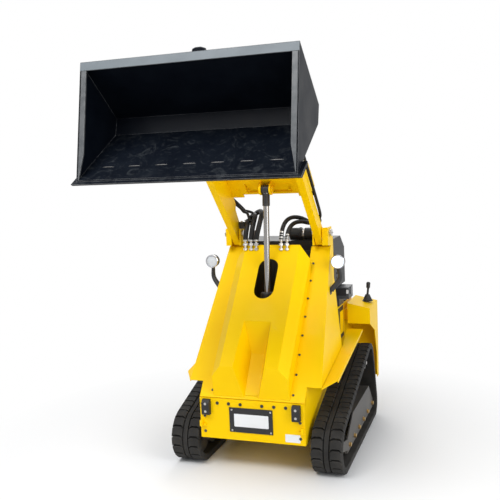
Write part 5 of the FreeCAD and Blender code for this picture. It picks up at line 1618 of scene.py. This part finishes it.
@dataclass
class Studio:
    """Camera, floor and light.

    Attributes:
        spot: place of the camera, in millimetres from the front panel.
        yaw: degrees that it looks to its own left.
        pitch: degrees that it looks down.
        roll: degrees that it leans.
        lens: focal length in millimetres.
        floor_half: half width of the floor, in metres.
        fade: distances in metres over which the floor turns white.
        sky: colour of the light from all round.
        sky_power: strength of that light.
        aim: where the lamps point, in millimetres from the front panel.
    """

    spot: Point = (1358.99, -3714.24, 1770.98)
    yaw: float = 19.622
    pitch: float = 6.849
    roll: float = 2.465
    lens: float = 52.02
    floor_half: float = 40.0
    fade: Pair = (0.75, 2.1)
    sky: Colour = (0.93, 0.96, 1.0)
    sky_power: float = 0.5
    aim: Point = (0.0, 300.0, 1000.0)

    def build(self) -> None:
        """Set up everything that isn't the machine."""
        self.camera()
        self.floor()
        self.world()
        self.lamps()
        bpy.context.scene.view_settings.view_transform = "Standard"

    def camera(self) -> None:
        """Aim the camera by its yaw to its own left, its pitch downwards and its roll."""
        yaw, pitch, roll = (math.radians(a) for a in (self.yaw, self.pitch, self.roll))
        ahead = Vector((-math.sin(yaw) * math.cos(pitch), math.cos(yaw) * math.cos(pitch), -math.sin(pitch)))
        level = Vector((math.cos(yaw), math.sin(yaw), 0.0))
        down = ahead.cross(level)
        right = math.cos(roll) * level + math.sin(roll) * down
        up = math.sin(roll) * level - math.cos(roll) * down
        data = bpy.data.cameras.new("camera")
        data.sensor_width = 36.0
        data.lens = self.lens
        camera = bpy.data.objects.new("camera", data)
        bpy.context.collection.objects.link(camera)
        turn = Matrix((right, up, -ahead)).transposed().to_4x4()
        camera.matrix_world = Matrix.Translation(at(*self.spot)) @ turn
        bpy.context.scene.camera = camera

    def floor(self) -> None:
        """Lay a pale floor that takes the shadow and turns white away from the machine."""
        half = self.floor_half
        mesh = bpy.data.meshes.new("floor")
        corners = [(-half, -half, 0), (half, -half, 0), (half, half, 0), (-half, half, 0)]
        mesh.from_pydata(corners, [], [(0, 1, 2, 3)])
        floor = bpy.data.objects.new("floor", mesh)
        bpy.context.collection.objects.link(floor)
        made = bpy.data.materials.new("pale floor")
        made.use_nodes = True
        tree = made.node_tree
        shader = tree.nodes["Principled BSDF"]
        shader.inputs["Base Color"].default_value = (0.80, 0.80, 0.80, 1)
        shader.inputs["Roughness"].default_value = 0.9
        shader.inputs["Specular IOR Level"].default_value = 0.1
        place = tree.nodes.new("ShaderNodeTexCoord").outputs["Object"]
        away = tree.nodes.new("ShaderNodeVectorMath")
        away.operation = "LENGTH"
        tree.links.new(place, away.inputs[0])
        share = ramp(tree, away.outputs["Value"], *self.fade, 1.0)
        white = tree.nodes.new("ShaderNodeEmission")
        white.inputs["Strength"].default_value = 1.0
        fading = self.blend(tree, share, shader.outputs[0], white.outputs[0])
        shown = self.blend(tree, self.seen(tree), shader.outputs[0], fading)
        tree.links.new(shown, tree.nodes["Material Output"].inputs["Surface"])
        floor.data.materials.append(made)

    def seen(self, tree: Tree) -> Socket:
        """Tell the rays that see the background from those of the light: camera, glossy and transmitted rays.

        Args:
            tree: the nodes to add to.

        Returns:
            The largest of the three kinds of ray.
        """
        rays = tree.nodes.new("ShaderNodeLightPath")
        value = rays.outputs["Is Camera Ray"]
        for kind in ("Is Glossy Ray", "Is Transmission Ray"):
            value = combine(tree, "MAXIMUM", value, rays.outputs[kind])
        return value

    def blend(self, tree: Tree, share: Socket, first: Socket, second: Socket) -> Socket:
        """Mix two shaders.

        Args:
            tree: the nodes to add to.
            share: share of the second shader.
            first: the first shader.
            second: the second shader.

        Returns:
            The mixed shader.
        """
        node = tree.nodes.new("ShaderNodeMixShader")
        for socket, source in zip(node.inputs, (share, first, second)):
            tree.links.new(source, socket)
        return node.outputs[0]

    def world(self) -> None:
        """Light the machine softly from all round, and show white behind it."""
        world = bpy.data.worlds.new("studio")
        world.use_nodes = True
        tree = world.node_tree
        light = tree.nodes["Background"]
        light.inputs["Color"].default_value = (*self.sky, 1.0)
        light.inputs["Strength"].default_value = self.sky_power
        white = tree.nodes.new("ShaderNodeBackground")
        white.inputs["Color"].default_value = (1.0, 1.0, 1.0, 1.0)
        white.inputs["Strength"].default_value = 1.0
        shown = self.blend(tree, self.seen(tree), light.outputs[0], white.outputs[0])
        tree.links.new(shown, tree.nodes["World Output"].inputs["Surface"])
        bpy.context.scene.world = world

    def lamps(self) -> None:
        """Hang three soft lamps: a key above the front, a fill on the left and one behind."""
        self.lamp("key", (-800.0, -2700.0, 5000.0), size=2.6, power=232.0)
        self.lamp("fill", (3400.0, -1500.0, 2300.0), size=2.4, power=80.0)
        self.lamp("back", (-800.0, 4200.0, 3600.0), size=2.5, power=70.0)

    def lamp(self, name: str, spot: Point, size: float, power: float) -> None:
        """Hang one square lamp that faces the middle of the machine.

        Args:
            name: name of the lamp.
            spot: its place, in millimetres from the front panel.
            size: its side, in metres.
            power: its power, in watts.
        """
        data = bpy.data.lights.new(name, "AREA")
        data.size = size
        data.energy = power
        lamp = bpy.data.objects.new(name, data)
        bpy.context.collection.objects.link(lamp)
        lamp.location = at(*spot)
        way = Vector(at(*self.aim)) - lamp.location
        lamp.rotation_euler = way.to_track_quat("-Z", "Y").to_euler()


def main() -> None:
    """Build the studio and dress the machine."""
    logging.basicConfig(level=logging.INFO, format="%(message)s")
    Studio().build()
    dress_frame()
    for side in Side:
        Track(side).build()
        Lamp(side, lit=side is Side.LEFT).build()
    Undercarriage().build()
    Front().build()
    Hoses().build()
    Cylinder(
        name="lift", base=(326.0, 330.0), eye=on_arm(342.4, 58.4), tube_radius=38.0, tube_length=662.0,
        rod_radius=17.5, barrel=Body.LIFT_BARREL, rod=Body.LIFT_ROD, sleeve=100.0, collar=22.7,
        eye_radius=27.0, eye_width=46.0,
    ).build()
    Cylinder(
        name="tilt", base=on_arm(450.0, 143.0), eye=(-517.7, 2269.2), tube_radius=30.0, tube_length=600.0,
        rod_radius=15.0, barrel=Body.TILT_BARREL, rod=Body.TILT_ROD, sleeve=88.0, collar=19.7,
        eye_radius=26.0, eye_width=44.0,
    ).build()
    Arms().build()
    Bucket().build()
    OperatorEnd().build()
    Engine().build()


if __name__ == "__main__":
    main()
